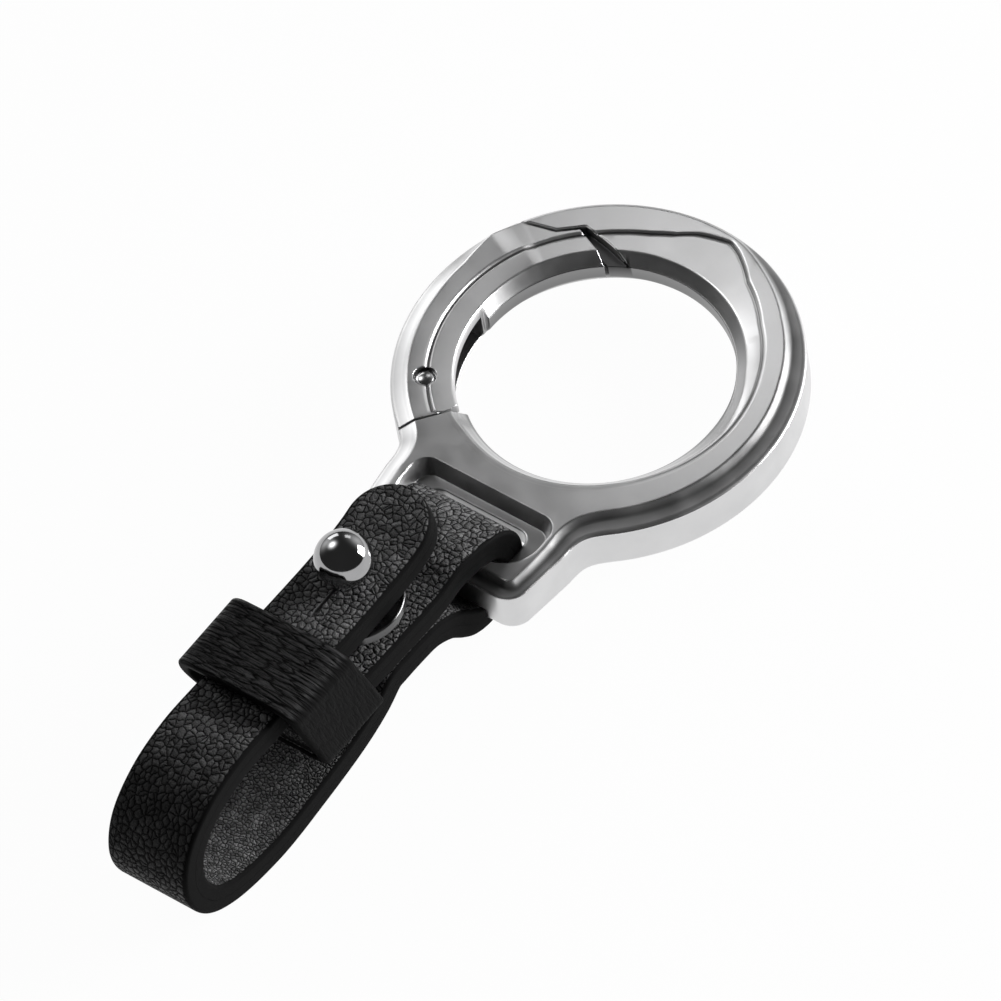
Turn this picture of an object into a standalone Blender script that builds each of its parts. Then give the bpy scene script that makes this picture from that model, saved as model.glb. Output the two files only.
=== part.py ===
"""Leather keychain: a spring-gate ring with a strap plate, and a leather strap closed by a ball stud.

Units are metres, +Z is up. The ring lies flat: its front face looks up (+Z), its far end points
along +Y and the strap leaves its plate along -Y. Sizes are written in millimetres times MM.
Heights are measured from the ring's reference plane, the inner edge of its front face, and
places from the ring's centre. One empty carries them all and stands the part on its lowest point.
"""
import math

import bmesh
import bpy
import numpy as np
from mathutils import Vector

MM = 0.001

# Clearances
GAP = 0.3 * MM                  # between pieces that rest on or fit in each other
PIN_FIT = 0.1 * MM              # radial play of a shaft in its hole
OVERRUN = 3.0 * MM              # how far a cutter runs past what it cuts
WELD = 0.001 * MM

# Ring
RING_RADIUS = 22.5 * MM
OPENING_RADIUS = 14.8 * MM
BODY_DEPTH = 5.1 * MM           # reference plane to back face
RIM_HEIGHT = 0.3 * MM           # top edge of the outer wall
CREST_HEIGHT = 1.1 * MM         # highest line of the front face
LIP_HEIGHT = 0.95 * MM          # edges of the crease
CREASE_DEPTH = 0.375 * MM
BEVEL_DROP = 0.5 * MM           # foot of the bevel round the opening
LEDGE_DROP = 0.85 * MM          # the ledge that takes the bevel's place on the far side
LEDGE_SLOPE = 0.05 * MM
OPENING_WALL_DROP = 2.6 * MM    # where the opening's wall turns into the back bevel
BACK_BEVEL = 0.6 * MM
RING_STEPS = 132                # points of the round part of the outline
PLATE_STEPS = 60                # points of the plate's part of it
AREA_STEPS = 24                 # points of the arcs that bound a cut
CORNER_STEPS = 6
FILLET_STEPS = 12

# Widths as shares of the ring's band, from the opening to the outer edge
LEDGE_SHARE = 0.02
CREASE_SHARE = 0.078
BACK_BEVEL_SHARE = 0.234
CHANNEL_WALL_SHARE = 0.13
CHEEK_SHARE = 0.097
HINGE_SHARE = 0.501             # the pin's place across the band
PIN_SHARE = 0.117
PIN_HEAD_SHARE = 0.145
PIN_RECESS_SHARE = 0.168
KNUCKLE_SHARE = 0.247
COIL_SHARE = 0.312              # radius of the curls
LEG_SHARE = 0.636               # pin to the tip of the short leg

BEVEL_SHARES = (0.35, 0.75)     # places on the bevel, from the opening to the crease

# The front face by angle round the ring: places of the crease and of the crest across the band, the
# crest's height as a share of CREST_HEIGHT, how hollow the face is outside the crest, and how deep the
# crease is.
FACET_SHARES = (
    (-50, 0.22, 0.65, 1.00, 1.0, 0.0),
    (-30, 0.25, 0.65, 1.00, 1.0, 0.1),
    (0, 0.33, 0.65, 1.00, 1.0, 0.3),
    (25, 0.37, 0.66, 1.00, 1.0, 0.4),
    (50, 0.43, 0.73, 1.00, 1.0, 0.5),
    (68, 0.56, 0.83, 0.90, 0.8, 0.8),
    (80, 0.80, 0.93, 0.65, 0.3, 1.0),
    (84, 0.86, 0.95, 0.55, 0.0, 1.0),
    (89, 0.80, 0.95, 0.51, 0.0, 1.0),
    (94.5, 0.735, 0.95, 0.48, 0.0, 1.0),
    (101, 0.60, 0.95, 0.46, 0.0, 1.0),
    (108.5, 0.52, 0.95, 0.46, 0.0, 1.0),
    (118, 0.486, 0.95, 0.46, 0.0, 1.0),
    (126, 0.474, 0.95, 0.46, 0.0, 1.0),
    (148, 0.474, 0.94, 0.60, 0.0, 1.0),
    (158, 0.474, 0.91, 1.30, 0.0, 1.0),
    (170, 0.474, 0.78, 1.05, 0.0, 1.0),
    (185, 0.474, 0.75, 1.00, 0.0, 1.0),
    (231.5, 0.474, 0.75, 1.00, 0.0, 1.0),
    (233.5, 0.27, 0.75, 1.00, 0.0, 0.0),
    (245, 0.22, 0.75, 1.00, 0.0, 0.0),
)

# The opening's edge by angle: how far the ledge replaces the bevel, and the place and height of the
# face's edge above the ledge, across the band and as a share of CREST_HEIGHT.
EDGE_SHARES = (
    (0, 0.0, 0.16, 0.50),
    (30, 1.0, 0.16, 0.50),
    (150, 1.0, 0.16, 0.50),
    (180, 1.0, 0.12, 0.64),
    (231.5, 1.0, 0.12, 0.64),
    (233.5, 0.0, 0.12, 0.64),
)

# Two places of the face between the crest and the rim: how far from the crest they lie, and how high
# above the rim they are where the face is hollow.
HOLLOW_SHARES = ((0.314, 0.31), (0.83, 0.19))
PLATE_HOLLOW_SHARES = ((0.385, 0.08), (0.83, 0.03))

# Plate
PLATE_LEAVE_ANGLE = -49.5       # where the plate's outline leaves the circle, degrees
PLATE_HALF_WIDTH = 11.9 * MM    # at the waist
WAIST_RISE = 8.2 * MM           # plate's lower edge to the waist under the fillets
PLATE_FOOT_HALF_WIDTH = 11.2 * MM
PLATE_LENGTH = 8.0 * MM         # ring's outer edge to the plate's lower edge
PLATE_CORNER = 2.5 * MM
PLATE_BEVEL = 1.95 * MM         # width of the outer bevel round the plate
PLATE_CREST_SHARE = 0.86
PLATE_BLEND_SHARE = 0.22        # part of the plate's outline over which the ring's facets fade
PLATE_HOLLOW_START_SHARE = 0.28 # part of it, from the left, where the chamfer turns hollow
PLATE_HOLLOW_END_SHARE = 0.38
SLOT_HALF_WIDTH = 6.5 * MM
BAR_WIDTH = 3.5 * MM            # slot to the plate's lower edge
SLOT_HEIGHT = 5.85 * MM
SLOT_CORNER = 1.6 * MM
POCKET_SHOULDER = 1.85 * MM     # slot to the pocket's far edge
POCKET_HALF_WIDTH = 9.2 * MM
POCKET_CORNER = 1.6 * MM
POCKET_FOOT_CORNER = 4.0 * MM
POCKET_SLOPE = 0.8 * MM         # how far the pocket's walls lean in
POCKET_FLOOR = -1.0 * MM
BACK_POCKET_FLOOR = -3.7 * MM
RIM_LAND = 0.15 * MM            # flat between the back pocket and the outer bevel
BAR_BEVEL = 0.5 * MM

# Gate and its hinge
HINGE_ANGLE = 215.9             # place of the pin round the ring, degrees
SPLIT_ANGLE = 232.5             # joint line at the hinge end, degrees
RECESS_ANGLE = 180.0            # where the spring recess ends, degrees
RECESS_PAST_ANGLE = 245.0
CHANNEL_SETBACK = 1.5           # the channel ends this much before the recess, degrees
GATE_GAP = 0.3 * MM
LIP_GAP = 0.35 * MM             # round the gate's nose
LIP_REACH = 26.0 * MM           # pin to the ring's face before the nose
HEEL_REACH = 24.2 * MM          # pin to the gate's end under the nose
LIP_END_SHARE = 0.136           # where that face ends, as a share of the band
LIP_END_ANGLE = 114.0           # end of the lip at the opening, degrees
TURN_STEP = 0.25                # degrees
AREA_ANGLE = 165.0              # the areas' outer arcs begin here, past the lip, degrees
INNER_SETBACK = 15.0            # their inner arcs end this much before the joint line, degrees
FOOT_TURN = 75.0                # the gate's end turns this far round the pin, degrees

HEEL_ANGLES = (55.0, 100.0)      # bearings from the pin past the gate's end, degrees

# The nose's outline: angle and share of the ring's radius, along the lip and from there to the opening.
LIP_SHARES = ((149.6, 1.0), (139.8, 0.864), (132.2, 0.853))
NOSE_SHARES = ((127.0, 0.723), (124.0, 0.655))
CHANNEL_TOP = -0.6 * MM
CHANNEL_BOTTOM = -4.3 * MM
PIN_HEAD_HEIGHT = 0.6 * MM
PIN_RECESS_FLOOR = 0.2 * MM
PIN_FOOT_RECESS = 0.4 * MM
PIN_FOOT_HEIGHT = 0.25 * MM
LUG_THICKNESS = 0.85 * MM
LUG_ROOT = 1.5 * MM             # how far the lug runs into the ring
WIRE_RADIUS = 0.15 * MM
COIL_TURNS = 2                  # whole turns, besides the part turn between the legs
LEG_DIRECTION = -15.0           # direction of that tip from the pin, degrees
LONG_LEG_ANGLE = 186.0          # place of the long leg's tip round the ring, degrees
CURL_STEPS = 10
GAP_SAMPLES = 12                # places measured on each straight piece of the wire

# Strap
PLY = 1.55 * MM                 # thickness of one leather ply
GLUE_LINE = 0.3 * MM
WRAP_PLAY = 0.35 * MM           # between the bar and the strap round it
MIDDLE_SAG = 0.35 * MM          # the middle layer lies a little below the wrap's top
HUMP_RISE = 0.9 * MM            # and rises in a hump beyond the bar
STUD_REACH = 14.25 * MM         # bar centre to the stud's axis
SHORT_END_REACH = 29.2 * MM     # bar centre to the strap's short end
TIP_REACH = 2.0 * MM            # bar centre to the tongue's tip
TIP_LIFT = 2.1 * MM
LOOP_REACH = 51.5 * MM          # bar centre to the loop's outer end
LOOP_LOW_DROP = 5.8 * MM        # the loop's lowest point below the back layer at the stud
SHORT_END_HALF_WIDTH = 5.45 * MM
WRAP_HALF_WIDTH = 6.15 * MM
LOOP_HALF_WIDTH = 5.4 * MM
TONGUE_HALF_WIDTH = 4.95 * MM
EDGE_ROUND = 0.3 * MM
STRAP_STEP = 1.9 * MM
CURVE_STEPS = 24
TIP_STEPS = 7
TIP_END_SHARE = 0.12            # half width of the tongue's last edge, of its half width
SLIT_LENGTH = 5.0 * MM
SLIT_WIDTH = 0.5 * MM

# Where the route's points lie along its spans, and how far up each rises.
MIDDLE_SHARES = ((0.0, 0.0), (0.35, 0.0), (0.54, 0.3), (0.72, 1.0), (0.87, 0.9))   # stud to bar
WRAP_ANGLES = (80, 50, 20, -10, -40, -70, -95, -118, -140)
BACK_SHARES = ((0.385, 0.33), (0.59, 0.05), (0.78, 0.0), (1.0, 0.0))               # bar to stud
LOW_SHARES = ((0.04, 0.02), (0.115, 0.32), (0.22, 0.58), (0.42, 0.84), (0.645, 1.0), (0.85, 0.78))
BEND_SHARES = ((0.951, 0.22), (1.0, 0.49), (0.965, 0.76), (0.86, 0.94))            # height, low to front
FRONT_SHARES = ((0.72, 1.02), (0.55, 1.02), (0.30, 1.01), (0.0, 1.0))
TONGUE_SHARES = ((0.45, 0.22), (0.76, 0.68), (1.0, 1.0))                           # stud to tip

# Keeper
KEEPER_LENGTH = 10.1 * MM
KEEPER_WALL = 1.4 * MM
KEEPER_REACH = 18.9 * MM        # bar centre to the keeper's near edge, at the reference plane
KEEPER_LEAN_SHARE = 0.33        # how far it leans towards the loop for each unit of height
KEEPER_SIDE_PLAY = 0.5 * MM
KEEPER_TOP_PLAY = 0.5 * MM
KEEPER_BULGE = 1.7 * MM         # how far its left bend stands off the strap
KEEPER_BULGE_SHARE = 0.25       # height of that bend, of the keeper's inner height
KEEPER_CROWN = 0.4 * MM
BULGE_HEIGHT_SHARE = 0.3        # how far that bend fades upwards and downwards, of the inner height
BULGE_WIDTH_SHARE = 0.4         # and to the right, of the inner half width
CROWN_HEIGHT_SHARE = 0.2        # the crown's part of the inner height
KEEPER_CORNER = 0.9 * MM
KEEPER_CORNER_STEPS = 4
KEEPER_SIDE_STEPS = 8
KEEPER_LENGTH_STEPS = 3

# Ball stud
BALL_RADIUS = 3.2 * MM
NECK_RADIUS = 1.4 * MM
FLANGE_RADIUS = 5.8 * MM
FLANGE_THICKNESS = 1.3 * MM
FLANGE_EDGE = 0.3 * MM
COLLAR_RADIUS = 3.3 * MM
COLLAR_HEIGHT = 2.15 * MM
SHANK_RADIUS = 1.6 * MM
SCREW_RADIUS = 0.9 * MM
SCREW_STANDOFF = 0.5 * MM       # how far the shank comes out of the strap for the screw's head
SCREW_LENGTH = 5.0 * MM
SCREW_HEAD_RADIUS = 1.9 * MM
SCREW_HEAD_HEIGHT = 1.1 * MM
SCREW_SLOT_WIDTH = 0.7 * MM
SCREW_SLOT_DEPTH = 0.5 * MM
ROUND_STEPS = 32
DOME_STEPS = 5
BALL_STEPS = 14

# Worked-out sizes
BAND = RING_RADIUS - OPENING_RADIUS
BACK_OPENING_BEVEL = BAND * BACK_BEVEL_SHARE
PLATE_REACH = RING_RADIUS + PLATE_LENGTH
PLATE_WAIST = PLATE_REACH - WAIST_RISE
RING_TURN = 180 - 2 * PLATE_LEAVE_ANGLE
PLATE_CREST = CREST_HEIGHT * PLATE_CREST_SHARE
SLOT_BOTTOM = PLATE_REACH - BAR_WIDTH
SLOT_TOP = SLOT_BOTTOM - SLOT_HEIGHT
POCKET_TOP = SLOT_TOP - POCKET_SHOULDER
POCKET_BOTTOM = SLOT_BOTTOM + BAR_BEVEL
BACK_POCKET_BOTTOM = PLATE_REACH - PLATE_BEVEL - RIM_LAND
STRAP_THICKNESS = 2 * PLY + GLUE_LINE
HALF_STRAP = STRAP_THICKNESS / 2
BAR_HALF_WIDTH = (PLATE_REACH - SLOT_BOTTOM) / 2
BAR_HALF_HEIGHT = (PLATE_CREST - BACK_POCKET_FLOOR) / 2
BAR = Vector((-(SLOT_BOTTOM + PLATE_REACH) / 2, (PLATE_CREST + BACK_POCKET_FLOOR) / 2))   # Y and Z
BAR_RADIUS = max(math.hypot(BAR_HALF_WIDTH - BAR_BEVEL, BAR_HALF_HEIGHT),
                 math.hypot(BAR_HALF_WIDTH, BAR_HALF_HEIGHT - BAR_BEVEL))
WRAP_RADIUS = BAR_RADIUS + WRAP_PLAY + HALF_STRAP
STUD_Y = BAR.x - STUD_REACH
MIDDLE_Z = BAR.y + WRAP_RADIUS - MIDDLE_SAG
BACK_Z = MIDDLE_Z - STRAP_THICKNESS - GAP
COLLAR_Z = MIDDLE_Z + HALF_STRAP + GAP
FLANGE_Z = COLLAR_Z + COLLAR_HEIGHT
TONGUE_Z = FLANGE_Z + FLANGE_THICKNESS + GAP + HALF_STRAP
TONGUE_TOP = TONGUE_Z + HALF_STRAP
STUD_HOLE = NECK_RADIUS + GAP
SHANK_HOLE = SHANK_RADIUS + PIN_FIT
BALL_Z = TONGUE_TOP + GAP + math.sqrt(BALL_RADIUS ** 2 - STUD_HOLE ** 2)
SHANK_END = BACK_Z - HALF_STRAP - SCREW_STANDOFF
LUG_BOTTOM = CHANNEL_BOTTOM + GAP
LUG_TOP = LUG_BOTTOM + LUG_THICKNESS
CHANNEL_RADIUS = RING_RADIUS - BAND * CHANNEL_WALL_SHARE
CHEEK_RADIUS = OPENING_RADIUS + BAND * CHEEK_SHARE
PIN_RADIUS = BAND * PIN_SHARE
PIN_HEAD_RADIUS = BAND * PIN_HEAD_SHARE
PIN_RECESS_RADIUS = BAND * PIN_RECESS_SHARE
KNUCKLE_RADIUS = BAND * KNUCKLE_SHARE
COIL_RADIUS = BAND * COIL_SHARE
LEG_REACH = BAND * LEG_SHARE
HINGE_RADIUS = OPENING_RADIUS + BAND * HINGE_SHARE
HINGE = Vector((HINGE_RADIUS * math.cos(math.radians(HINGE_ANGLE)),
                HINGE_RADIUS * math.sin(math.radians(HINGE_ANGLE))))


# Small helpers

def mix(a, b, share):
    return a + (b - a) * share


def ease(share):
    share = min(max(share, 0.0), 1.0)
    return share * share * (3 - 2 * share)


def polar(radius, degrees):
    angle = math.radians(degrees)
    return Vector((radius * math.cos(angle), radius * math.sin(angle)))


def bearing(vector):
    return math.degrees(math.atan2(vector.y, vector.x))


def arc(centre, radius, start, end, steps):
    """Points on an arc, both ends included, angles in degrees."""
    return [Vector(centre) + polar(radius, mix(start, end, i / steps)) for i in range(steps + 1)]


def rounded_box(half_width, low, high, corner, foot=None):
    """A rounded rectangle about the Y axis in plan, anticlockwise; foot is the radius of its low corners."""
    foot = foot or corner
    points = arc((half_width - foot, low + foot), foot, -90, 0, CORNER_STEPS)
    points += arc((half_width - corner, high - corner), corner, 0, 90, CORNER_STEPS)
    points += arc((corner - half_width, high - corner), corner, 90, 180, CORNER_STEPS)
    points += arc((foot - half_width, low + foot), foot, 180, 270, CORNER_STEPS)
    return points


def spread(points, count):
    """Evenly spaced points along a polyline, both ends included."""
    lengths = [0.0]
    for a, b in zip(points[:-1], points[1:]):
        lengths.append(lengths[-1] + (b - a).length)
    places = np.linspace(0, lengths[-1], count + 1)
    return [Vector((np.interp(s, lengths, [p.x for p in points]),
                    np.interp(s, lengths, [p.y for p in points]))) for s in places]


def spread_along(points, partners, count):
    """The partner places of the evenly spaced points that spread gives along a polyline."""
    lengths = [0.0]
    for a, b in zip(points[:-1], points[1:]):
        lengths.append(lengths[-1] + (b - a).length)
    places = np.linspace(0, lengths[-1], count + 1)
    return [Vector((np.interp(s, lengths, [p.x for p in partners]),
                    np.interp(s, lengths, [p.y for p in partners]))) for s in places]


def shifted_path(points, distance):
    """A polyline moved to its left by a distance, its corners kept sharp."""
    normals = []
    for a, b in zip(points[:-1], points[1:]):
        run = (b - a).normalized()
        normals.append(Vector((-run.y, run.x)))
    moved = [points[0] + normals[0] * distance]
    for before, after, point in zip(normals[:-1], normals[1:], points[1:-1]):
        middle = (before + after).normalized()
        moved.append(point + middle * (distance / middle.dot(before)))
    moved.append(points[-1] + normals[-1] * distance)
    return moved


def smooth_curve(points, step):
    """A smooth curve through the points, centripetal Catmull-Rom, sampled about every step."""
    ends = [2 * points[0] - points[1]] + points + [2 * points[-1] - points[-2]]
    curve = []
    for p0, p1, p2, p3 in zip(ends[:-3], ends[1:-2], ends[2:-1], ends[3:]):
        t0 = 0.0
        t1 = t0 + math.sqrt((p1 - p0).length)
        t2 = t1 + math.sqrt((p2 - p1).length)
        t3 = t2 + math.sqrt((p3 - p2).length)
        for i in range(CURVE_STEPS):
            t = mix(t1, t2, i / CURVE_STEPS)
            a1 = p0 * ((t1 - t) / (t1 - t0)) + p1 * ((t - t0) / (t1 - t0))
            a2 = p1 * ((t2 - t) / (t2 - t1)) + p2 * ((t - t1) / (t2 - t1))
            a3 = p2 * ((t3 - t) / (t3 - t2)) + p3 * ((t - t2) / (t3 - t2))
            b1 = a1 * ((t2 - t) / (t2 - t0)) + a2 * ((t - t0) / (t2 - t0))
            b2 = a2 * ((t3 - t) / (t3 - t1)) + a3 * ((t - t1) / (t3 - t1))
            curve.append(b1 * ((t2 - t) / (t2 - t1)) + b2 * ((t - t1) / (t2 - t1)))
    curve.append(points[-1])
    length = sum((b - a).length for a, b in zip(curve[:-1], curve[1:]))
    return spread(curve, round(length / step))


# Blender helpers

def material(name, color, roughness, metallic):
    mat = bpy.data.materials.new(name)
    mat.use_nodes = True
    shader = mat.node_tree.nodes["Principled BSDF"]
    shader.inputs["Base Color"].default_value = (*color, 1.0)
    shader.inputs["Roughness"].default_value = roughness
    shader.inputs["Metallic"].default_value = metallic
    return mat


def mesh_object(name, bm, collection):
    mesh = bpy.data.meshes.new(name)
    bmesh.ops.recalc_face_normals(bm, faces=bm.faces)
    bm.to_mesh(mesh)
    bm.free()
    obj = bpy.data.objects.new(name, mesh)
    collection.objects.link(obj)
    return obj


def loft(name, loops, collection, closed=False):
    """A solid through loops of equally many points; closed joins the last loop to the first."""
    bm = bmesh.new()
    rows = [[bm.verts.new(p) for p in loop] for loop in loops]
    pairs = list(zip(rows[:-1], rows[1:]))
    if closed:
        pairs.append((rows[-1], rows[0]))
    for low, high in pairs:
        for i in range(len(low)):
            j = (i + 1) % len(low)
            bm.faces.new((low[i], low[j], high[j], high[i]))
    if not closed:
        bm.faces.new(rows[0])
        bm.faces.new(rows[-1])
    return mesh_object(name, bm, collection)


def raised(outline, height):
    return [(p[0], p[1], height) for p in outline]


def curve_mesh(curve, name, collection):
    """Turns a curve into a closed mesh object."""
    shape = bpy.data.objects.new(name + "_curve", curve)
    collection.objects.link(shape)
    bpy.context.view_layer.update()
    mesh = bpy.data.meshes.new_from_object(shape.evaluated_get(bpy.context.evaluated_depsgraph_get()))
    bm = bmesh.new()
    bm.from_mesh(mesh)
    bmesh.ops.remove_doubles(bm, verts=bm.verts, dist=WELD)
    bpy.data.objects.remove(shape, do_unlink=True)
    bpy.data.meshes.remove(mesh)
    return mesh_object(name, bm, collection)


def prism(name, outline, low, high, collection):
    """A flat outline, given in plan, filled and extruded from low to high."""
    curve = bpy.data.curves.new(name, "CURVE")
    curve.dimensions = "2D"
    curve.fill_mode = "BOTH"
    curve.extrude = (high - low) / 2
    spline = curve.splines.new("POLY")
    spline.points.add(len(outline) - 1)
    for point, place in zip(spline.points, outline):
        point.co = (place[0], place[1], 0, 1)
    spline.use_cyclic_u = True
    obj = curve_mesh(curve, name, collection)
    for vertex in obj.data.vertices:
        vertex.co.z += (low + high) / 2
    return obj


def cylinder(name, radius, low, high, place, collection):
    bm = bmesh.new()
    bmesh.ops.create_cone(bm, cap_ends=True, segments=ROUND_STEPS, radius1=radius, radius2=radius,
                          depth=high - low)
    bmesh.ops.translate(bm, verts=bm.verts, vec=(place[0], place[1], (low + high) / 2))
    return mesh_object(name, bm, collection)


def turned(name, profile, place, collection):
    """A turned solid: its profile of radius and height runs from the top of the axis to the bottom."""
    mesh = bpy.data.meshes.new(name)
    edges = [(i, i + 1) for i in range(len(profile) - 1)]
    mesh.from_pydata([(radius, 0, height) for radius, height in profile], edges, [])
    obj = bpy.data.objects.new(name, mesh)
    collection.objects.link(obj)
    obj.location = (place[0], place[1], 0)
    screw = obj.modifiers.new("turn", "SCREW")
    screw.steps = ROUND_STEPS
    screw.render_steps = ROUND_STEPS
    screw.use_merge_vertices = True
    screw.merge_threshold = WELD
    return obj


def boolean(obj, tool, operation="DIFFERENCE"):
    cut = obj.modifiers.new(operation.lower() + "_" + tool.name, "BOOLEAN")
    cut.operation = operation
    cut.solver = "EXACT"
    cut.object = tool
    tool.hide_render = True
    tool.display_type = "WIRE"


# Outlines of the ring and the plate

def table_at(table, degrees):
    """The values of a table's row at an angle round the ring, without the angle."""
    angles = [row[0] for row in table]
    return [float(np.interp(degrees, angles, column)) for column in list(zip(*table))[1:]]


def plate_outline():
    """The plate's outline, anticlockwise from where it leaves the circle on the left to the right."""
    leave = polar(RING_RADIUS, PLATE_LEAVE_ANGLE)
    tangent = Vector((leave.y, -leave.x)).normalized()
    waist = Vector((PLATE_HALF_WIDTH, -PLATE_WAIST))
    handle = (waist - leave).length / 2
    right = []
    for i in range(FILLET_STEPS + 1):
        t = i / FILLET_STEPS
        right.append((1 - t) ** 3 * leave + 3 * t * (1 - t) ** 2 * (leave + tangent * handle)
                     + 3 * t * t * (1 - t) * (waist + Vector((0, handle))) + t ** 3 * waist)
    corner = (PLATE_FOOT_HALF_WIDTH - PLATE_CORNER, PLATE_CORNER - PLATE_REACH)
    right += arc(corner, PLATE_CORNER, 0, -90, CORNER_STEPS + 2)
    left = [Vector((-p.x, p.y)) for p in right]
    return left + right[::-1]


def edge_stations():
    """The body's outer edge, anticlockwise: a dictionary for each point, with the face's sizes there."""
    stations = []
    for i in range(RING_STEPS):
        angle = mix(PLATE_LEAVE_ANGLE, PLATE_LEAVE_ANGLE + RING_TURN, i / RING_STEPS)
        crease, crest, height, hollow, depth = table_at(FACET_SHARES, angle)
        stations.append({"point": polar(RING_RADIUS, angle), "inward": polar(-1.0, angle), "angle": angle,
                         "inset": BAND * (1 - crest), "crest": CREST_HEIGHT * height,
                         "hollow": hollow, "plate": 0.0})
    outline = plate_outline()
    edge = spread(outline, PLATE_STEPS)
    inner_edge = spread_along(outline, shifted_path(outline, WELD), PLATE_STEPS)
    for i in range(PLATE_STEPS):
        t = i / PLATE_STEPS
        inward = (inner_edge[i] - edge[i]).normalized()
        side_angle = 180 - PLATE_LEAVE_ANGLE if t < 0.5 else PLATE_LEAVE_ANGLE
        crease, crest, height, hollow, depth = table_at(FACET_SHARES, side_angle)
        blend = ease(min(t, 1 - t) / PLATE_BLEND_SHARE)
        inset = mix(BAND * (1 - crest), PLATE_BEVEL, blend)
        angle = max(bearing(edge[i] + inward * inset) % 360, stations[-1]["angle"] + TURN_STEP / 10)
        turned_hollow = (t - PLATE_HOLLOW_START_SHARE) / (PLATE_HOLLOW_END_SHARE - PLATE_HOLLOW_START_SHARE)
        stations.append({"point": edge[i], "inward": inward, "angle": angle,
                         "inset": inset, "crest": mix(CREST_HEIGHT * height, PLATE_CREST, blend),
                         "hollow": ease(turned_hollow), "plate": blend})
    for station in stations:
        shares = table_at(FACET_SHARES, station["angle"])
        if station["angle"] > 360 + FACET_SHARES[0][0]:
            shares = FACET_SHARES[0][1:]
        station["crease"], station["depth"] = shares[0], shares[4]
        station["ledge"], station["edge"], height = table_at(EDGE_SHARES, station["angle"])
        station["edge height"] = min(CREST_HEIGHT * height, station["crest"])
    return stations


def face_profile(station):
    """The face between the opening and the crest: places across the band and heights."""
    lip = station["crease"] - CREASE_SHARE / 2
    lip_height = min(LIP_HEIGHT, station["crest"])
    profile = [(0.0, mix(-BEVEL_DROP, -LEDGE_DROP, station["ledge"]))]
    steps = ((LEDGE_SHARE, LEDGE_SLOPE - LEDGE_DROP), (station["edge"], station["edge height"]))
    for along, (place, height) in zip(BEVEL_SHARES, steps):
        profile.append((mix(lip * along, place, station["ledge"]),
                        mix(mix(-BEVEL_DROP, lip_height, along), height, station["ledge"])))
    profile.append((lip, lip_height))
    profile.append((station["crease"], lip_height - CREASE_DEPTH * station["depth"]))
    profile.append((lip + CREASE_SHARE, lip_height))
    return profile


def outer_profile(station):
    """The face from the crest to the back: distances from the outer edge and heights."""
    rise = station["crest"] - RIM_HEIGHT
    profile = [(station["inset"], station["crest"])]
    for ring, plate in zip(HOLLOW_SHARES, PLATE_HOLLOW_SHARES):
        along = mix(ring[0], plate[0], station["plate"])
        share = mix(1 - along, mix(ring[1], plate[1], station["plate"]), station["hollow"])
        profile.append((station["inset"] * (1 - along), RIM_HEIGHT + rise * share))
    return profile + [(0, RIM_HEIGHT), (0, BACK_BEVEL - BODY_DEPTH), (BACK_BEVEL, -BODY_DEPTH)]


def ring_blank(name, collection):
    """The whole ring with its plate, before the gate is parted from it and the plate is cut."""
    rows = []
    for station in edge_stations():
        row = [(0.0, -OPENING_WALL_DROP)] + face_profile(station)
        row = [(*polar(OPENING_RADIUS + BAND * share, station["angle"]), height) for share, height in row]
        for distance, height in outer_profile(station):
            row.append((*(station["point"] + station["inward"] * distance), height))
        row.append((*polar(OPENING_RADIUS + BACK_OPENING_BEVEL, station["angle"]), -BODY_DEPTH))
        rows.append(row)
    return loft(name, [list(loop) for loop in zip(*rows)], collection, closed=True)


# Lines that part the gate from the ring

def lip_path():
    """The side of the gate's nose that lies along the ring's lip, from outside the ring inwards."""
    points = [polar(RING_RADIUS * share, angle) for angle, share in LIP_SHARES]
    outside = points[0] + (points[0] - points[1]).normalized() * OVERRUN * 2
    return [outside] + points


def along_lip(reach):
    """The ring's side of the lip, from outside inwards to a distance from the pin."""
    path = shifted_path(lip_path(), LIP_GAP)
    while (path[-2] - HINGE).length > reach:
        path.pop()
    run = (path[-1] - path[-2]).normalized()
    offset = path[-1] - HINGE
    along = offset.dot(run)
    path[-1] += run * (math.sqrt(along ** 2 + reach ** 2 - offset.length_squared) - along)
    return path


def round_pin(start, reach, end_radius):
    """An arc about the pin from a bearing inwards to a radius of the ring."""
    turn = 0.0
    while (HINGE + polar(reach, start - turn)).length > end_radius:
        turn += TURN_STEP
    return arc(HINGE, reach, start, start - turn, FILLET_STEPS)[1:]


def lip_face():
    """The ring's side of the joint over the shelf: along the lip, round the pin and out to the opening."""
    path = along_lip(LIP_REACH)
    path += round_pin(bearing(path[-1] - HINGE), LIP_REACH, OPENING_RADIUS + BAND * LIP_END_SHARE)
    end = polar(OPENING_RADIUS, LIP_END_ANGLE)
    return path + [end, end * 2 - path[-1]]


def shelf_face():
    """The ring's side of the joint below the shelf's top, close to the gate's end."""
    path = along_lip(HEEL_REACH + GATE_GAP)
    return path + round_pin(bearing(path[-1] - HINGE), HEEL_REACH + GATE_GAP, OPENING_RADIUS - OVERRUN)


def heel_outline():
    """The area beyond the gate's end under its nose."""
    far = LIP_REACH + OVERRUN
    inner = arc(HINGE, HEEL_REACH, HEEL_ANGLES[0], HEEL_ANGLES[1], AREA_STEPS)
    return inner + arc(HINGE, far, HEEL_ANGLES[1], HEEL_ANGLES[0], AREA_STEPS)


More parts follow.
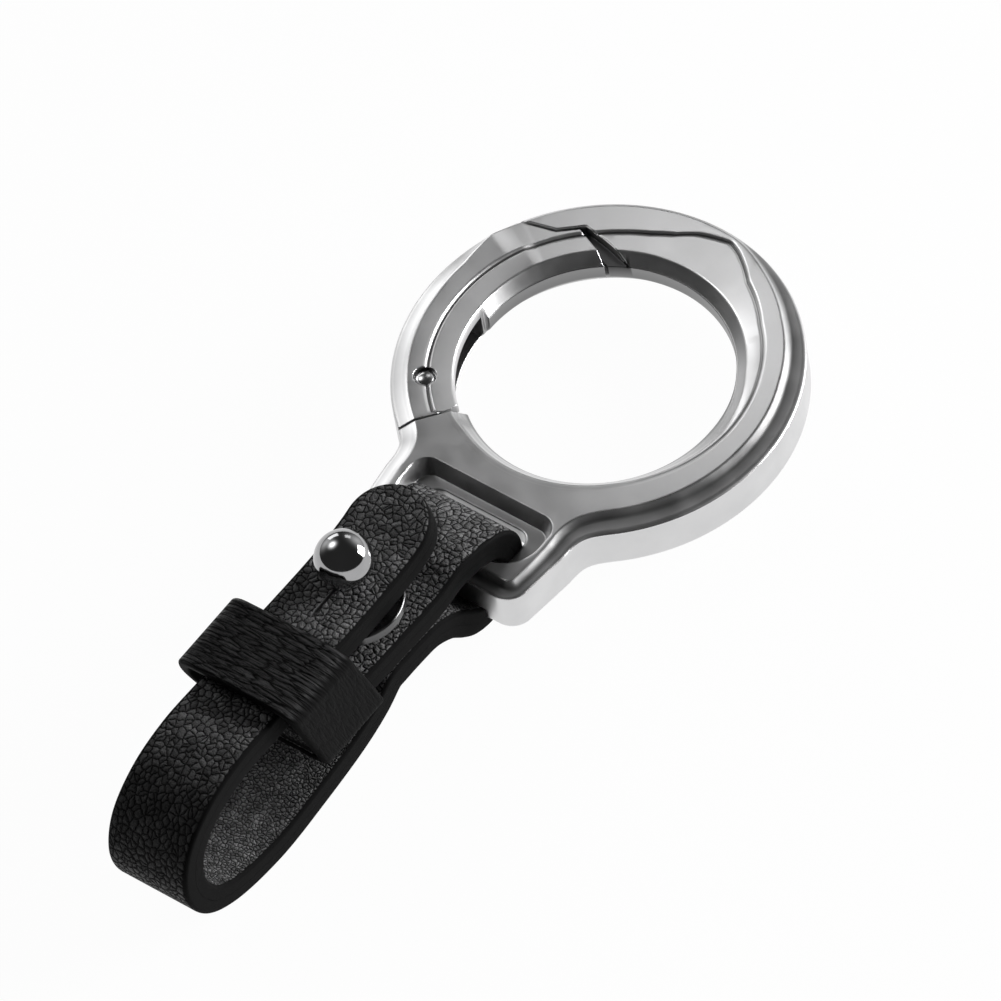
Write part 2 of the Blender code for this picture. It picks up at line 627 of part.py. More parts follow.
def gate_outline():
    """The area that the gate takes in plan."""
    along = polar(1.0, SPLIT_ANGLE)
    across = Vector((-along.y, along.x))
    foot = along * HINGE.dot(along)
    reach = (foot - HINGE).length
    points = [along * (RING_RADIUS + OVERRUN * 2), foot]
    points += arc(HINGE, reach, bearing(across), bearing(across) + FOOT_TURN, FILLET_STEPS)[1:]
    start = SPLIT_ANGLE - INNER_SETBACK
    points += arc((0, 0), OPENING_RADIUS - OVERRUN, start, NOSE_SHARES[-1][0], AREA_STEPS)
    points += [polar(RING_RADIUS * share, angle) for angle, share in NOSE_SHARES[::-1]]
    points += lip_path()[::-1]
    points += arc((0, 0), RING_RADIUS + OVERRUN * 2, AREA_ANGLE, SPLIT_ANGLE, AREA_STEPS)[:-1]
    return points


def gate_clearing(path):
    """The area cut out of the ring for the gate, wider than the gate by its gaps, up to a face's path."""
    along = polar(1.0, SPLIT_ANGLE)
    across = Vector((-along.y, along.x)) * GATE_GAP
    points = [along * (RING_RADIUS + OVERRUN * 2) + across, along * (OPENING_RADIUS - OVERRUN) + across]
    start = SPLIT_ANGLE - INNER_SETBACK
    points += arc((0, 0), OPENING_RADIUS - OVERRUN * 2, start, bearing(path[-1]), AREA_STEPS)
    points += path[::-1]
    points += arc((0, 0), RING_RADIUS + OVERRUN * 2, AREA_ANGLE, SPLIT_ANGLE - CHANNEL_SETBACK, AREA_STEPS)
    return points


def sector(radius, start):
    """The spring recess in plan, out to a radius."""
    outer = arc((0, 0), radius, start, RECESS_PAST_ANGLE, AREA_STEPS)
    inner = arc((0, 0), OPENING_RADIUS - OVERRUN, RECESS_PAST_ANGLE, start, AREA_STEPS)
    return outer + inner


# Ring, gate and hinge pieces

def pin_hole(name, collection):
    low = -BODY_DEPTH - OVERRUN
    return cylinder(name, PIN_RADIUS + PIN_FIT, low, CREST_HEIGHT + OVERRUN, HINGE, collection)


def slot_cutter(cutters):
    outline = rounded_box(SLOT_HALF_WIDTH, -SLOT_BOTTOM, -SLOT_TOP, SLOT_CORNER)
    flared = rounded_box(SLOT_HALF_WIDTH + BAR_BEVEL, -SLOT_BOTTOM - BAR_BEVEL, -SLOT_TOP + BAR_BEVEL,
                         SLOT_CORNER + BAR_BEVEL)
    loops = [raised(outline, CREST_HEIGHT + OVERRUN), raised(outline, BACK_POCKET_FLOOR + BAR_BEVEL),
             raised(flared, BACK_POCKET_FLOOR), raised(flared, -BODY_DEPTH - OVERRUN)]
    return loft("slot_cutter", loops, cutters)


def pocket_cutter(cutters):
    lean = POCKET_SLOPE / (PLATE_CREST - POCKET_FLOOR)
    loops = []
    for height in (POCKET_FLOOR, PLATE_CREST + OVERRUN):
        inset = (PLATE_CREST - height) * lean
        outline = rounded_box(POCKET_HALF_WIDTH - inset, inset - POCKET_BOTTOM, -POCKET_TOP - inset,
                              POCKET_CORNER + max(-inset, 0), POCKET_FOOT_CORNER + max(-inset, 0))
        loops.append(raised(outline, height))
    return loft("pocket_cutter", loops, cutters)


def bar_edge_cutter(cutters):
    """Takes the bar's lower back edge off, where the strap turns round it."""
    half = SLOT_HALF_WIDTH + BAR_BEVEL
    section = ((-PLATE_REACH - OVERRUN, BACK_POCKET_FLOOR - OVERRUN),
               (-PLATE_REACH + BAR_BEVEL + OVERRUN, BACK_POCKET_FLOOR - OVERRUN),
               (-PLATE_REACH - OVERRUN, BACK_POCKET_FLOOR + BAR_BEVEL + OVERRUN))
    loops = [[(x, y, z) for y, z in section] for x in (-half, half)]
    return loft("bar_edge_cutter", loops, cutters)


def ring_body(parts, cutters, metal):
    body = ring_blank("ring_body", parts)
    body.data.materials.append(metal)
    low = -BODY_DEPTH - OVERRUN
    high = CREST_HEIGHT + OVERRUN
    boolean(body, prism("gate_clearing", gate_clearing(shelf_face()), low, high, cutters))
    boolean(body, prism("nose_clearing", gate_clearing(lip_face()), -LEDGE_DROP, high, cutters))
    boolean(body, pocket_cutter(cutters))
    boolean(body, slot_cutter(cutters))
    back = rounded_box(POCKET_HALF_WIDTH, -BACK_POCKET_BOTTOM, -POCKET_TOP, POCKET_CORNER)
    boolean(body, prism("back_pocket", back, low, BACK_POCKET_FLOOR, cutters))
    notch = rounded_box(SLOT_HALF_WIDTH + BAR_BEVEL, -PLATE_REACH - OVERRUN, -SLOT_BOTTOM, BAR_BEVEL)
    boolean(body, prism("back_notch", notch, low, BACK_POCKET_FLOOR, cutters))
    boolean(body, bar_edge_cutter(cutters))
    into = Vector((-math.sin(math.radians(SPLIT_ANGLE)), math.cos(math.radians(SPLIT_ANGLE))))
    along = polar(1.0, SPLIT_ANGLE)
    reach = (along * HINGE.dot(along) - HINGE).length + GATE_GAP + LUG_ROOT
    turn = bearing(into)
    lug = arc(HINGE, KNUCKLE_RADIUS, turn + 90, turn + 270, FILLET_STEPS)
    lug += [lug[-1] + into * reach, lug[0] + into * reach]
    boolean(body, prism("lug", lug, LUG_BOTTOM, LUG_TOP, cutters), "UNION")
    boolean(body, cylinder("knuckle", KNUCKLE_RADIUS, LUG_BOTTOM, CHANNEL_TOP - GAP, HINGE, cutters), "UNION")
    boolean(body, pin_hole("lug_hole", cutters))
    return body


def gate(parts, cutters, metal):
    """The swinging part of the ring."""
    blank = ring_blank("gate", parts)
    blank.data.materials.append(metal)
    low = -BODY_DEPTH - OVERRUN
    high = CREST_HEIGHT + OVERRUN
    boolean(blank, prism("gate_area", gate_outline(), low, high, cutters), "INTERSECT")
    boolean(blank, prism("heel_cutter", heel_outline(), low, GAP - LEDGE_DROP, cutters))
    boolean(blank, prism("recess_cutter", sector(CHEEK_RADIUS, RECESS_ANGLE), low, high, cutters))
    channel = sector(CHANNEL_RADIUS, RECESS_ANGLE + CHANNEL_SETBACK)
    boolean(blank, prism("channel_cutter", channel, CHANNEL_BOTTOM, CHANNEL_TOP, cutters))
    boolean(blank, pin_hole("gate_hole", cutters))
    boolean(blank, cylinder("head_recess", PIN_RECESS_RADIUS, PIN_RECESS_FLOOR, high, HINGE, cutters))
    foot = cylinder("foot_recess", PIN_RECESS_RADIUS, low, PIN_FOOT_RECESS - BODY_DEPTH, HINGE, cutters)
    boolean(blank, foot)
    return blank


def gate_pin(parts, metal):
    """A rivet with a domed head in front and a flatter one behind."""
    head = PIN_RECESS_FLOOR + PIN_FIT
    foot = PIN_FOOT_RECESS - PIN_FIT - BODY_DEPTH
    profile = []
    for i in range(DOME_STEPS + 1):
        angle = math.radians(90 * i / DOME_STEPS)
        profile.append((PIN_HEAD_RADIUS * math.sin(angle), head + PIN_HEAD_HEIGHT * math.cos(angle)))
    profile += [(PIN_RADIUS, head), (PIN_RADIUS, foot), (PIN_HEAD_RADIUS, foot)]
    for i in range(1, DOME_STEPS + 1):
        angle = math.radians(90 * i / DOME_STEPS)
        profile.append((PIN_HEAD_RADIUS * math.cos(angle), foot - PIN_FOOT_HEIGHT * math.sin(angle)))
    profile[0] = (0, profile[0][1])
    profile[-1] = (0, profile[-1][1])
    pin = turned("gate_pin", profile, HINGE, parts)
    pin.data.materials.append(metal)
    return pin


def gap_to_itself(points):
    """The least gap between places of the wire that lie more than half a curl apart along it."""
    places = []
    for a, b in zip(points[:-1], points[1:]):
        places += [a.lerp(b, i / GAP_SAMPLES) for i in range(GAP_SAMPLES)]
    places = np.array(places + [points[-1]])
    run = np.concatenate(([0.0], np.cumsum(np.linalg.norm(np.diff(places, axis=0), axis=1))))
    distances = np.linalg.norm(places[:, None] - places[None, :], axis=2)
    apart = np.abs(run[:, None] - run[None, :]) > math.pi * COIL_RADIUS
    return distances[apart].min() - 2 * WIRE_RADIUS


def gate_spring(parts, metal):
    """A torsion spring round the knuckle: the short leg to the ring, the curls, the long leg in the gate."""
    short_tip = HINGE + polar(LEG_REACH, LEG_DIRECTION)
    start = LEG_DIRECTION - math.degrees(math.acos(COIL_RADIUS / LEG_REACH))
    long_tip = polar(CHANNEL_RADIUS - GAP - WIRE_RADIUS, LONG_LEG_ANGLE)
    outward = long_tip - HINGE
    end = bearing(outward) + math.degrees(math.acos(COIL_RADIUS / outward.length))
    turn = (start - end) % 360 + 360 * COIL_TURNS
    low = LUG_TOP + GAP + WIRE_RADIUS
    high = CHANNEL_TOP - GAP - WIRE_RADIUS
    steps = round(turn / 360 * CURL_STEPS)
    curls = []
    for i in range(steps + 1):
        place = HINGE + polar(COIL_RADIUS, start - turn * i / steps)
        curls.append(Vector((place.x, place.y, mix(low, high, i / steps))))
    points = [Vector((*short_tip, low))] + curls + [Vector((*long_tip, high))]
    least = round(gap_to_itself(points) / MM, 3)
    print("gate_spring: turns", round(turn / 360, 2), "least gap to itself", least, "mm")
    curve = bpy.data.curves.new("gate_spring", "CURVE")
    curve.dimensions = "3D"
    curve.bevel_depth = WIRE_RADIUS
    curve.bevel_resolution = 1
    curve.use_fill_caps = True
    spline = curve.splines.new("POLY")
    spline.points.add(len(points) - 1)
    for point, place in zip(spline.points, points):
        point.co = (*place, 1)
    spring = curve_mesh(curve, "gate_spring", parts)
    spring.data.materials.append(metal)
    return spring


# Strap

def strap_route():
    """The strap's mid-line in side view (Y and Z), from its short end round the bar and the loop."""
    low_z = BACK_Z - LOOP_LOW_DROP
    end_y = BAR.x - LOOP_REACH + HALF_STRAP
    points = [Vector((BAR.x - SHORT_END_REACH, MIDDLE_Z))]
    points += [Vector((mix(STUD_Y, BAR.x, y), MIDDLE_Z + HUMP_RISE * z)) for y, z in MIDDLE_SHARES]
    points += [BAR + polar(WRAP_RADIUS, angle) for angle in WRAP_ANGLES]
    wrap_low = BAR.y - WRAP_RADIUS
    points += [Vector((mix(BAR.x, STUD_Y, y), mix(BACK_Z, wrap_low, z))) for y, z in BACK_SHARES]
    points += [Vector((mix(STUD_Y, end_y, y), mix(BACK_Z, low_z, z))) for y, z in LOW_SHARES]
    points += [Vector((mix(STUD_Y, end_y, y), mix(low_z, TONGUE_Z, z))) for y, z in BEND_SHARES]
    points += [Vector((mix(STUD_Y, end_y, y), mix(low_z, TONGUE_Z, z))) for y, z in FRONT_SHARES]
    tip_y = BAR.x - TIP_REACH
    points += [Vector((mix(STUD_Y, tip_y, y), TONGUE_Z + TIP_LIFT * z)) for y, z in TONGUE_SHARES]
    return points


def strap_stations():
    """Places along the strap: mid-line point, left-hand normal (the grain side) and half width."""
    line = smooth_curve(strap_route(), STRAP_STEP)
    lengths = [0.0]
    for a, b in zip(line[:-1], line[1:]):
        lengths.append(lengths[-1] + (b - a).length)
    total = lengths[-1]
    tip = TONGUE_HALF_WIDTH
    places = [s for s in lengths if s < total - tip]
    end_angle = math.acos(TIP_END_SHARE)
    places += [total - tip + tip * math.sin(end_angle * i / TIP_STEPS) for i in range(TIP_STEPS + 1)]
    ys = [p.x for p in line]
    zs = [p.y for p in line]
    wrap_place = SHORT_END_REACH + WRAP_RADIUS
    loop_place = wrap_place + LOOP_REACH
    stud_place = total - (STUD_REACH - TIP_REACH)
    stations = []
    for s in places:
        point, ahead, behind = [Vector((np.interp(place, lengths, ys), np.interp(place, lengths, zs)))
                                for place in (s, s + STRAP_STEP / 2, s - STRAP_STEP / 2)]
        run = (ahead - behind).normalized()
        half = float(np.interp(s, (0, wrap_place, loop_place, stud_place),
                               (SHORT_END_HALF_WIDTH, WRAP_HALF_WIDTH, LOOP_HALF_WIDTH, TONGUE_HALF_WIDTH)))
        past = s - (total - tip)
        if past > 0:
            half = math.sqrt(max(tip * tip - past * past, 0))
        stations.append((point, Vector((-run.y, run.x)), half))
    return stations


def ply(name, low, high, parts, cutters, leather):
    """One leather ply of the strap, between two distances to the grain side of the mid-line."""
    loops = []
    for point, normal, half in strap_stations():
        edge = min(EDGE_ROUND, half / 3)
        section = ((half - edge, low), (half, low + edge), (half, high - edge), (half - edge, high),
                   (edge - half, high), (-half, high - edge), (-half, low + edge), (edge - half, low))
        loop = []
        for x, distance in section:
            place = point + normal * distance
            loop.append((x, place.x, place.y))
        loops.append(loop)
    obj = loft(name, loops, parts)
    obj.data.materials.append(leather)
    place = (0, STUD_Y)
    top_low = FLANGE_Z
    top_high = TONGUE_TOP + OVERRUN
    boolean(obj, cylinder(name + "_stud_hole", STUD_HOLE, top_low, top_high, place, cutters))
    shank_low = SHANK_END - OVERRUN
    boolean(obj, cylinder(name + "_shank_hole", SHANK_HOLE, shank_low, FLANGE_Z, place, cutters))
    slit = [(-SLIT_WIDTH / 2, STUD_Y), (-SLIT_WIDTH / 2, STUD_Y - STUD_HOLE - SLIT_LENGTH),
            (SLIT_WIDTH / 2, STUD_Y - STUD_HOLE - SLIT_LENGTH), (SLIT_WIDTH / 2, STUD_Y)]
    boolean(obj, prism(name + "_slit", slit, top_low, top_high, cutters))
    return obj


# Keeper

def keeper_section():
    """The keeper's inner outline across the strap (X and Z), anticlockwise."""
    half = SHORT_END_HALF_WIDTH + KEEPER_SIDE_PLAY
    low = MIDDLE_Z - HALF_STRAP - GAP
    high = TONGUE_TOP + KEEPER_TOP_PLAY
    corner = KEEPER_CORNER
    runs = ((half - corner, low + corner, -90), (half - corner, high - corner, 0),
            (corner - half, high - corner, 90), (corner - half, low + corner, 180))
    points = []
    for x, z, start in runs:
        bend = arc((x, z), corner, start, start + 90, KEEPER_CORNER_STEPS)
        if points:
            side = spread([points[-1], bend[0]], KEEPER_SIDE_STEPS)
            points += side[1:-1]
        points += bend
    points += spread([points[-1], points[0]], KEEPER_SIDE_STEPS)[1:-1]
    bend_z = mix(high, low, KEEPER_BULGE_SHARE)
    shaped = []
    for p in points:
        height = (p.y - bend_z) / (high - low)
        bulge = KEEPER_BULGE * math.exp(-(height / BULGE_HEIGHT_SHARE) ** 2)
        bulge *= ease(BULGE_WIDTH_SHARE - p.x / half)
        top = 1 - (high - p.y) / (high - low) / CROWN_HEIGHT_SHARE
        crown = KEEPER_CROWN * (1 - (p.x / half) ** 2) * ease(top)
        shaped.append(Vector((p.x - bulge, p.y + crown)))
    return shaped


def keeper(parts, leather):
    """The sliding leather band, leaning towards the loop."""
    inner = keeper_section()
    count = len(inner)
    outer = []
    for i, point in enumerate(inner):
        run = (inner[(i + 1) % count] - inner[i - 1]).normalized()
        outer.append(point + Vector((run.y, -run.x)) * KEEPER_WALL)
    near = BAR.x - KEEPER_REACH

    def loop_at(outline, share):
        return [(p.x, near - KEEPER_LENGTH * share - p.y * KEEPER_LEAN_SHARE, p.y) for p in outline]

    shares = [i / KEEPER_LENGTH_STEPS for i in range(KEEPER_LENGTH_STEPS + 1)]
    loops = [loop_at(outer, share) for share in shares]
    loops += [loop_at(inner, share) for share in reversed(shares)]
    band = loft("keeper", loops, parts, closed=True)
    band.data.materials.append(leather)
    return band


# Ball stud

def ball_stud(parts, cutters, chrome):
    """Ball, neck, flange, collar and hollow shank, turned in one piece."""
    profile = []
    neck_angle = 180 - math.degrees(math.asin(NECK_RADIUS / BALL_RADIUS))
    for i in range(BALL_STEPS + 1):
        angle = math.radians(neck_angle * i / BALL_STEPS)
        profile.append((BALL_RADIUS * math.sin(angle), BALL_Z + BALL_RADIUS * math.cos(angle)))
    profile[0] = (0, profile[0][1])
    flange_top = FLANGE_Z + FLANGE_THICKNESS
    profile += [(NECK_RADIUS, flange_top), (FLANGE_RADIUS - FLANGE_EDGE, flange_top),
                (FLANGE_RADIUS, flange_top - FLANGE_EDGE), (FLANGE_RADIUS, FLANGE_Z + FLANGE_EDGE),
                (FLANGE_RADIUS - FLANGE_EDGE, FLANGE_Z), (COLLAR_RADIUS, FLANGE_Z), (COLLAR_RADIUS, COLLAR_Z),
                (SHANK_RADIUS, COLLAR_Z), (SHANK_RADIUS, SHANK_END), (0, SHANK_END)]
    stud = turned("ball_stud", profile, (0, STUD_Y), parts)
    stud.data.materials.append(chrome)
    bore = cylinder("stud_bore", SCREW_RADIUS + PIN_FIT, SHANK_END - OVERRUN, SHANK_END + SCREW_LENGTH + GAP,
                    (0, STUD_Y), cutters)
    boolean(stud, bore)
    return stud


def stud_screw(parts, cutters, chrome):
    """The slotted screw that holds the stud from the back."""
    top = SHANK_END - GAP
    low = top - SCREW_HEAD_HEIGHT
    edge = SCREW_HEAD_HEIGHT / 3
    profile = [(0, SHANK_END + SCREW_LENGTH), (SCREW_RADIUS, SHANK_END + SCREW_LENGTH),
               (SCREW_RADIUS, top), (SCREW_HEAD_RADIUS, top), (SCREW_HEAD_RADIUS, low + edge),
               (SCREW_HEAD_RADIUS - edge, low), (0, low)]
    screw = turned("stud_screw", profile, (0, STUD_Y), parts)
    screw.data.materials.append(chrome)
    half = SCREW_SLOT_WIDTH / 2
    long = SCREW_HEAD_RADIUS + OVERRUN
    slot = [(-long, STUD_Y - half), (long, STUD_Y - half), (long, STUD_Y + half), (-long, STUD_Y + half)]
    boolean(screw, prism("screw_slot", slot, low - OVERRUN, low + SCREW_SLOT_DEPTH, cutters))
    return screw


# Assembly

def build():
    for item in list(bpy.data.objects):
        bpy.data.objects.remove(item, do_unlink=True)
    parts = bpy.data.collections.new("leather_keychain")
    cutters = bpy.data.collections.new("cutters")
    bpy.context.scene.collection.children.link(parts)
    bpy.context.scene.collection.children.link(cutters)

    pewter = material("satin_pewter", (0.40, 0.40, 0.41), 0.32, 1.0)
    steel = material("spring_steel", (0.55, 0.55, 0.56), 0.25, 1.0)
    chrome = material("black_chrome", (0.30, 0.30, 0.32), 0.08, 1.0)
    leather = material("black_leather", (0.045, 0.045, 0.047), 0.55, 0.0)

    fixed = [ring_body(parts, cutters, pewter), gate_pin(parts, steel)]
    swinging_gate = [gate(parts, cutters, pewter), gate_spring(parts, steel)]
    swinging_strap = [
        ply("strap_face", GLUE_LINE / 2, GLUE_LINE / 2 + PLY, parts, cutters, leather),
        ply("strap_lining", -GLUE_LINE / 2 - PLY, -GLUE_LINE / 2, parts, cutters, leather),
        ball_stud(parts, cutters, chrome),
        stud_screw(parts, cutters, chrome),
    ]
    sliding = [keeper(parts, leather)]

    outer = [point + normal * HALF_STRAP for point, normal, half in strap_stations()]
    lowest = min(p.y for p in outer)
    nearest = min(p.x for p in outer)
    origin = bpy.data.objects.new("keychain_origin", None)
    parts.objects.link(origin)
    origin.location = (0, -(RING_RADIUS + nearest) / 2, -lowest)
    for obj in fixed + list(cutters.objects):
        obj.parent = origin
    joints = (("gate_axis", (*HINGE, 0), swinging_gate), ("strap_axis", (0, *BAR), swinging_strap),
              ("keeper_axis", (0, STUD_Y, MIDDLE_Z), sliding))
    for name, place, moving in joints:
        axis = bpy.data.objects.new(name, None)
        parts.objects.link(axis)
        axis.parent = origin
        axis.location = place
        for obj in moving:
            obj.parent = axis
            obj.location -= Vector(place)
    shift = origin.location
    print("origin shift", [round(v / MM, 4) for v in shift])
    print("hinge", [round(v / MM, 4) for v in (HINGE.x, HINGE.y + shift.y)])
    print("bar", [round(v / MM, 4) for v in (BAR.x + shift.y, BAR.y + shift.z)])
    print("stud", round((STUD_Y + shift.y) / MM, 4), "back face", round((shift.z - BODY_DEPTH) / MM, 4))


build()
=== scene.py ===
"""Looks of the leather keychain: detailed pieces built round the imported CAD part.

Units are metres in the part's own frame. Plan shapes are drawn about the ring's centre (X right,
Y to the ring's far end) with heights from the reference plane, the inner edge of the front face;
CENTRE carries them into the frame. Sizes are written in millimetres times MM.
"""
import math

import bmesh
import bpy
import numpy as np
from mathutils import Matrix, Vector
from mathutils.bvhtree import BVHTree
from mathutils.interpolate import poly_3d_calc


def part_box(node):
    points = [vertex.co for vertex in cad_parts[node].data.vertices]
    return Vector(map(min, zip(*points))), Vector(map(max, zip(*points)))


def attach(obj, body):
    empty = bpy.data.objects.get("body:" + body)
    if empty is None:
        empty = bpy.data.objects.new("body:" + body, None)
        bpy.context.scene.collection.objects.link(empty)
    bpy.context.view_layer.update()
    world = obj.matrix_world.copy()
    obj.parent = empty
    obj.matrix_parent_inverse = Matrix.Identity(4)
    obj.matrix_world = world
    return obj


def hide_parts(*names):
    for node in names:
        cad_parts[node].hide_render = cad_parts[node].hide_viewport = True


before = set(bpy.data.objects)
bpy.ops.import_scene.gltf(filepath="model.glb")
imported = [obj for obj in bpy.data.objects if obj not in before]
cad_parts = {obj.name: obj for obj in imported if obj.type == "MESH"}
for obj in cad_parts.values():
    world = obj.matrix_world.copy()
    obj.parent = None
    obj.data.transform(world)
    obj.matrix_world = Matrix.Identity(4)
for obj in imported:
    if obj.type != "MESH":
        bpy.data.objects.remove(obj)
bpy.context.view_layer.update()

MM = 0.001

# Ring
RING_RADIUS = 22.5 * MM
OPENING_RADIUS = 14.8 * MM
BODY_DEPTH = 5.1 * MM
RIM_HEIGHT = 0.3 * MM
CREST_HEIGHT = 1.1 * MM
LIP_HEIGHT = 0.95 * MM
CREASE_DEPTH = 0.375 * MM
BEVEL_DROP = 0.5 * MM
LEDGE_DROP = 0.85 * MM
LEDGE_SLOPE = 0.05 * MM
OPENING_WALL_DROP = 2.6 * MM
BACK_BEVEL = 0.6 * MM

# Painted shade for each corner of the ring's section, how much darker the metal is painted there, and
# its edge wear with painted highlight, from the opening's wall over the front face to the back, with the
# places of the crease and the hollow.
PAINTED_SHADE_SHARES = (0.3, 0.4, 0.95, 1.0, 1.0, 0.22, 1.0, 1.0, 0.5, 0.8, 1.0, 1.0, 1.0, 0.8)
WEAR_AND_HIGHLIGHT_SHARES = (0.0, 0.7, 0.6, 0.8, 0.3, 0.0, 0.4, 1.0, 0.0, 0.6, 1.0, 0.8, 0.8, 0.5)
CUT_SHARES = {"painted_shade_and_tone": 0.7, "wear_and_highlight": 0.0}     # painted shade, and no wear, on faces of the cuts
JOINT_PAINTED_SHADOW = 0.12               # painted shadow deep in the joint at the gate's nose
CUT_REACH = 0.01 * MM
PLAIN_WEAR_AND_HIGHLIGHT = 0.3                # wear and painted highlight where the face isn't hollow
CREASE_PLACE = 5
HOLLOW_PLACE = 8

RING_STEPS = 396
PLATE_STEPS = 180
AREA_STEPS = 60
CORNER_STEPS = 12
FILLET_STEPS = 36
FILLET = 0.2 * MM               # how far a rounded edge reaches from its corner
RING_FILLET_SHARE = 0.4         # the most of a side that a fillet takes
TURNED_FILLET_SHARE = 0.35
CAP_STEPS = 16
HOLE_STEPS = 64
SHARP_ANGLE = 28.0              # edges of the cuts, degrees

# Widths as shares of the ring's band, from the opening to the outer edge
LEDGE_SHARE = 0.02
CREASE_SHARE = 0.078
BACK_BEVEL_SHARE = 0.234
CHANNEL_WALL_SHARE = 0.13
CHEEK_SHARE = 0.097
HINGE_SHARE = 0.501
PIN_SHARE = 0.117
PIN_HEAD_SHARE = 0.145
PIN_RECESS_SHARE = 0.168
KNUCKLE_SHARE = 0.247
COIL_SHARE = 0.312
LEG_SHARE = 0.636

BEVEL_SHARES = (0.35, 0.75)     # places on the bevel, from the opening to the crease

# The front face by angle round the ring: places of the crease and of the crest across the band, the
# crest's height as a share of CREST_HEIGHT, how hollow the face is outside the crest, and how deep the
# crease is.
FACET_SHARES = (
    (-50, 0.22, 0.65, 1.00, 1.0, 0.0),
    (-30, 0.25, 0.65, 1.00, 1.0, 0.1),
    (0, 0.33, 0.65, 1.00, 1.0, 0.3),
    (25, 0.37, 0.66, 1.00, 1.0, 0.4),
    (50, 0.43, 0.73, 1.00, 1.0, 0.5),
    (68, 0.56, 0.83, 0.90, 0.8, 0.8),
    (80, 0.80, 0.93, 0.65, 0.3, 1.0),
    (84, 0.86, 0.95, 0.55, 0.0, 1.0),
    (89, 0.80, 0.95, 0.51, 0.0, 1.0),
    (94.5, 0.735, 0.95, 0.48, 0.0, 1.0),
    (101, 0.60, 0.95, 0.46, 0.0, 1.0),
    (108.5, 0.52, 0.95, 0.46, 0.0, 1.0),
    (118, 0.486, 0.95, 0.46, 0.0, 1.0),
    (126, 0.474, 0.95, 0.46, 0.0, 1.0),
    (148, 0.474, 0.94, 0.60, 0.0, 1.0),
    (158, 0.474, 0.91, 1.30, 0.0, 1.0),
    (170, 0.474, 0.78, 1.05, 0.0, 1.0),
    (185, 0.474, 0.75, 1.00, 0.0, 1.0),
    (231.5, 0.474, 0.75, 1.00, 0.0, 1.0),
    (233.5, 0.27, 0.75, 1.00, 0.0, 0.0),
    (245, 0.22, 0.75, 1.00, 0.0, 0.0),
)

# The opening's edge by angle: how far the ledge replaces the bevel, and the place and height of the
# face's edge above the ledge, across the band and as a share of CREST_HEIGHT.
EDGE_SHARES = (
    (0, 0.0, 0.16, 0.50),
    (30, 1.0, 0.16, 0.50),
    (150, 1.0, 0.16, 0.50),
    (180, 1.0, 0.12, 0.64),
    (231.5, 1.0, 0.12, 0.64),
    (233.5, 0.0, 0.12, 0.64),
)

# Two places of the face between the crest and the rim: how far from the crest they lie, and how high
# above the rim they are where the face is hollow.
HOLLOW_SHARES = ((0.314, 0.31), (0.83, 0.19))
PLATE_HOLLOW_SHARES = ((0.385, 0.08), (0.83, 0.03))

# Plate
PLATE_LEAVE_ANGLE = -49.5
PLATE_HALF_WIDTH = 11.9 * MM
WAIST_RISE = 8.2 * MM
PLATE_FOOT_HALF_WIDTH = 11.2 * MM
PLATE_LENGTH = 8.0 * MM
PLATE_CORNER = 2.5 * MM
PLATE_BEVEL = 1.95 * MM
PLATE_CREST_SHARE = 0.86
PLATE_BLEND_SHARE = 0.22
PLATE_HOLLOW_START_SHARE = 0.28
PLATE_HOLLOW_END_SHARE = 0.38
SLOT_HALF_WIDTH = 6.5 * MM
BAR_WIDTH = 3.5 * MM
SLOT_HEIGHT = 5.85 * MM
SLOT_CORNER = 1.6 * MM
POCKET_SHOULDER = 1.85 * MM
POCKET_HALF_WIDTH = 9.2 * MM
POCKET_CORNER = 1.6 * MM
POCKET_FOOT_CORNER = 4.0 * MM
POCKET_SLOPE = 0.8 * MM
POCKET_FLOOR = -1.0 * MM
BACK_POCKET_FLOOR = -3.7 * MM
RIM_LAND = 0.15 * MM
BAR_BEVEL = 0.5 * MM

# Gate and hinge
GAP = 0.3 * MM
PIN_FIT = 0.1 * MM
OVERRUN = 3.0 * MM
WELD = 0.001 * MM
HINGE_ANGLE = 215.9
SPLIT_ANGLE = 232.5
RECESS_ANGLE = 180.0
RECESS_PAST_ANGLE = 245.0
CHANNEL_SETBACK = 1.5
GATE_GAP = 0.3 * MM
LIP_GAP = 0.35 * MM
LIP_STEP = 0.16 * MM
LIP_POINTS = 160
LIP_REACH = 26.0 * MM
HEEL_REACH = 24.2 * MM
LIP_END_SHARE = 0.136
LIP_END_ANGLE = 114.0
TURN_STEP = 0.25
AREA_ANGLE = 165.0
INNER_SETBACK = 15.0
FOOT_TURN = 75.0
HEEL_ANGLES = (55.0, 100.0)
LIP_SHARES = ((149.6, 1.0), (139.8, 0.864), (132.2, 0.853))
NOSE_SHARES = ((127.0, 0.723), (124.0, 0.655))
CHANNEL_TOP = -0.6 * MM
CHANNEL_BOTTOM = -4.3 * MM
PIN_HEAD_HEIGHT = 0.6 * MM
PIN_RECESS_FLOOR = 0.2 * MM
PIN_FOOT_RECESS = 0.4 * MM
PIN_FOOT_HEIGHT = 0.25 * MM
LUG_THICKNESS = 0.85 * MM
LUG_ROOT = 1.5 * MM
WIRE_RADIUS = 0.15 * MM
COIL_TURNS = 2
LEG_DIRECTION = -15.0
LONG_LEG_ANGLE = 186.0
CURL_STEPS = 40
WIRE_SIDES = 4

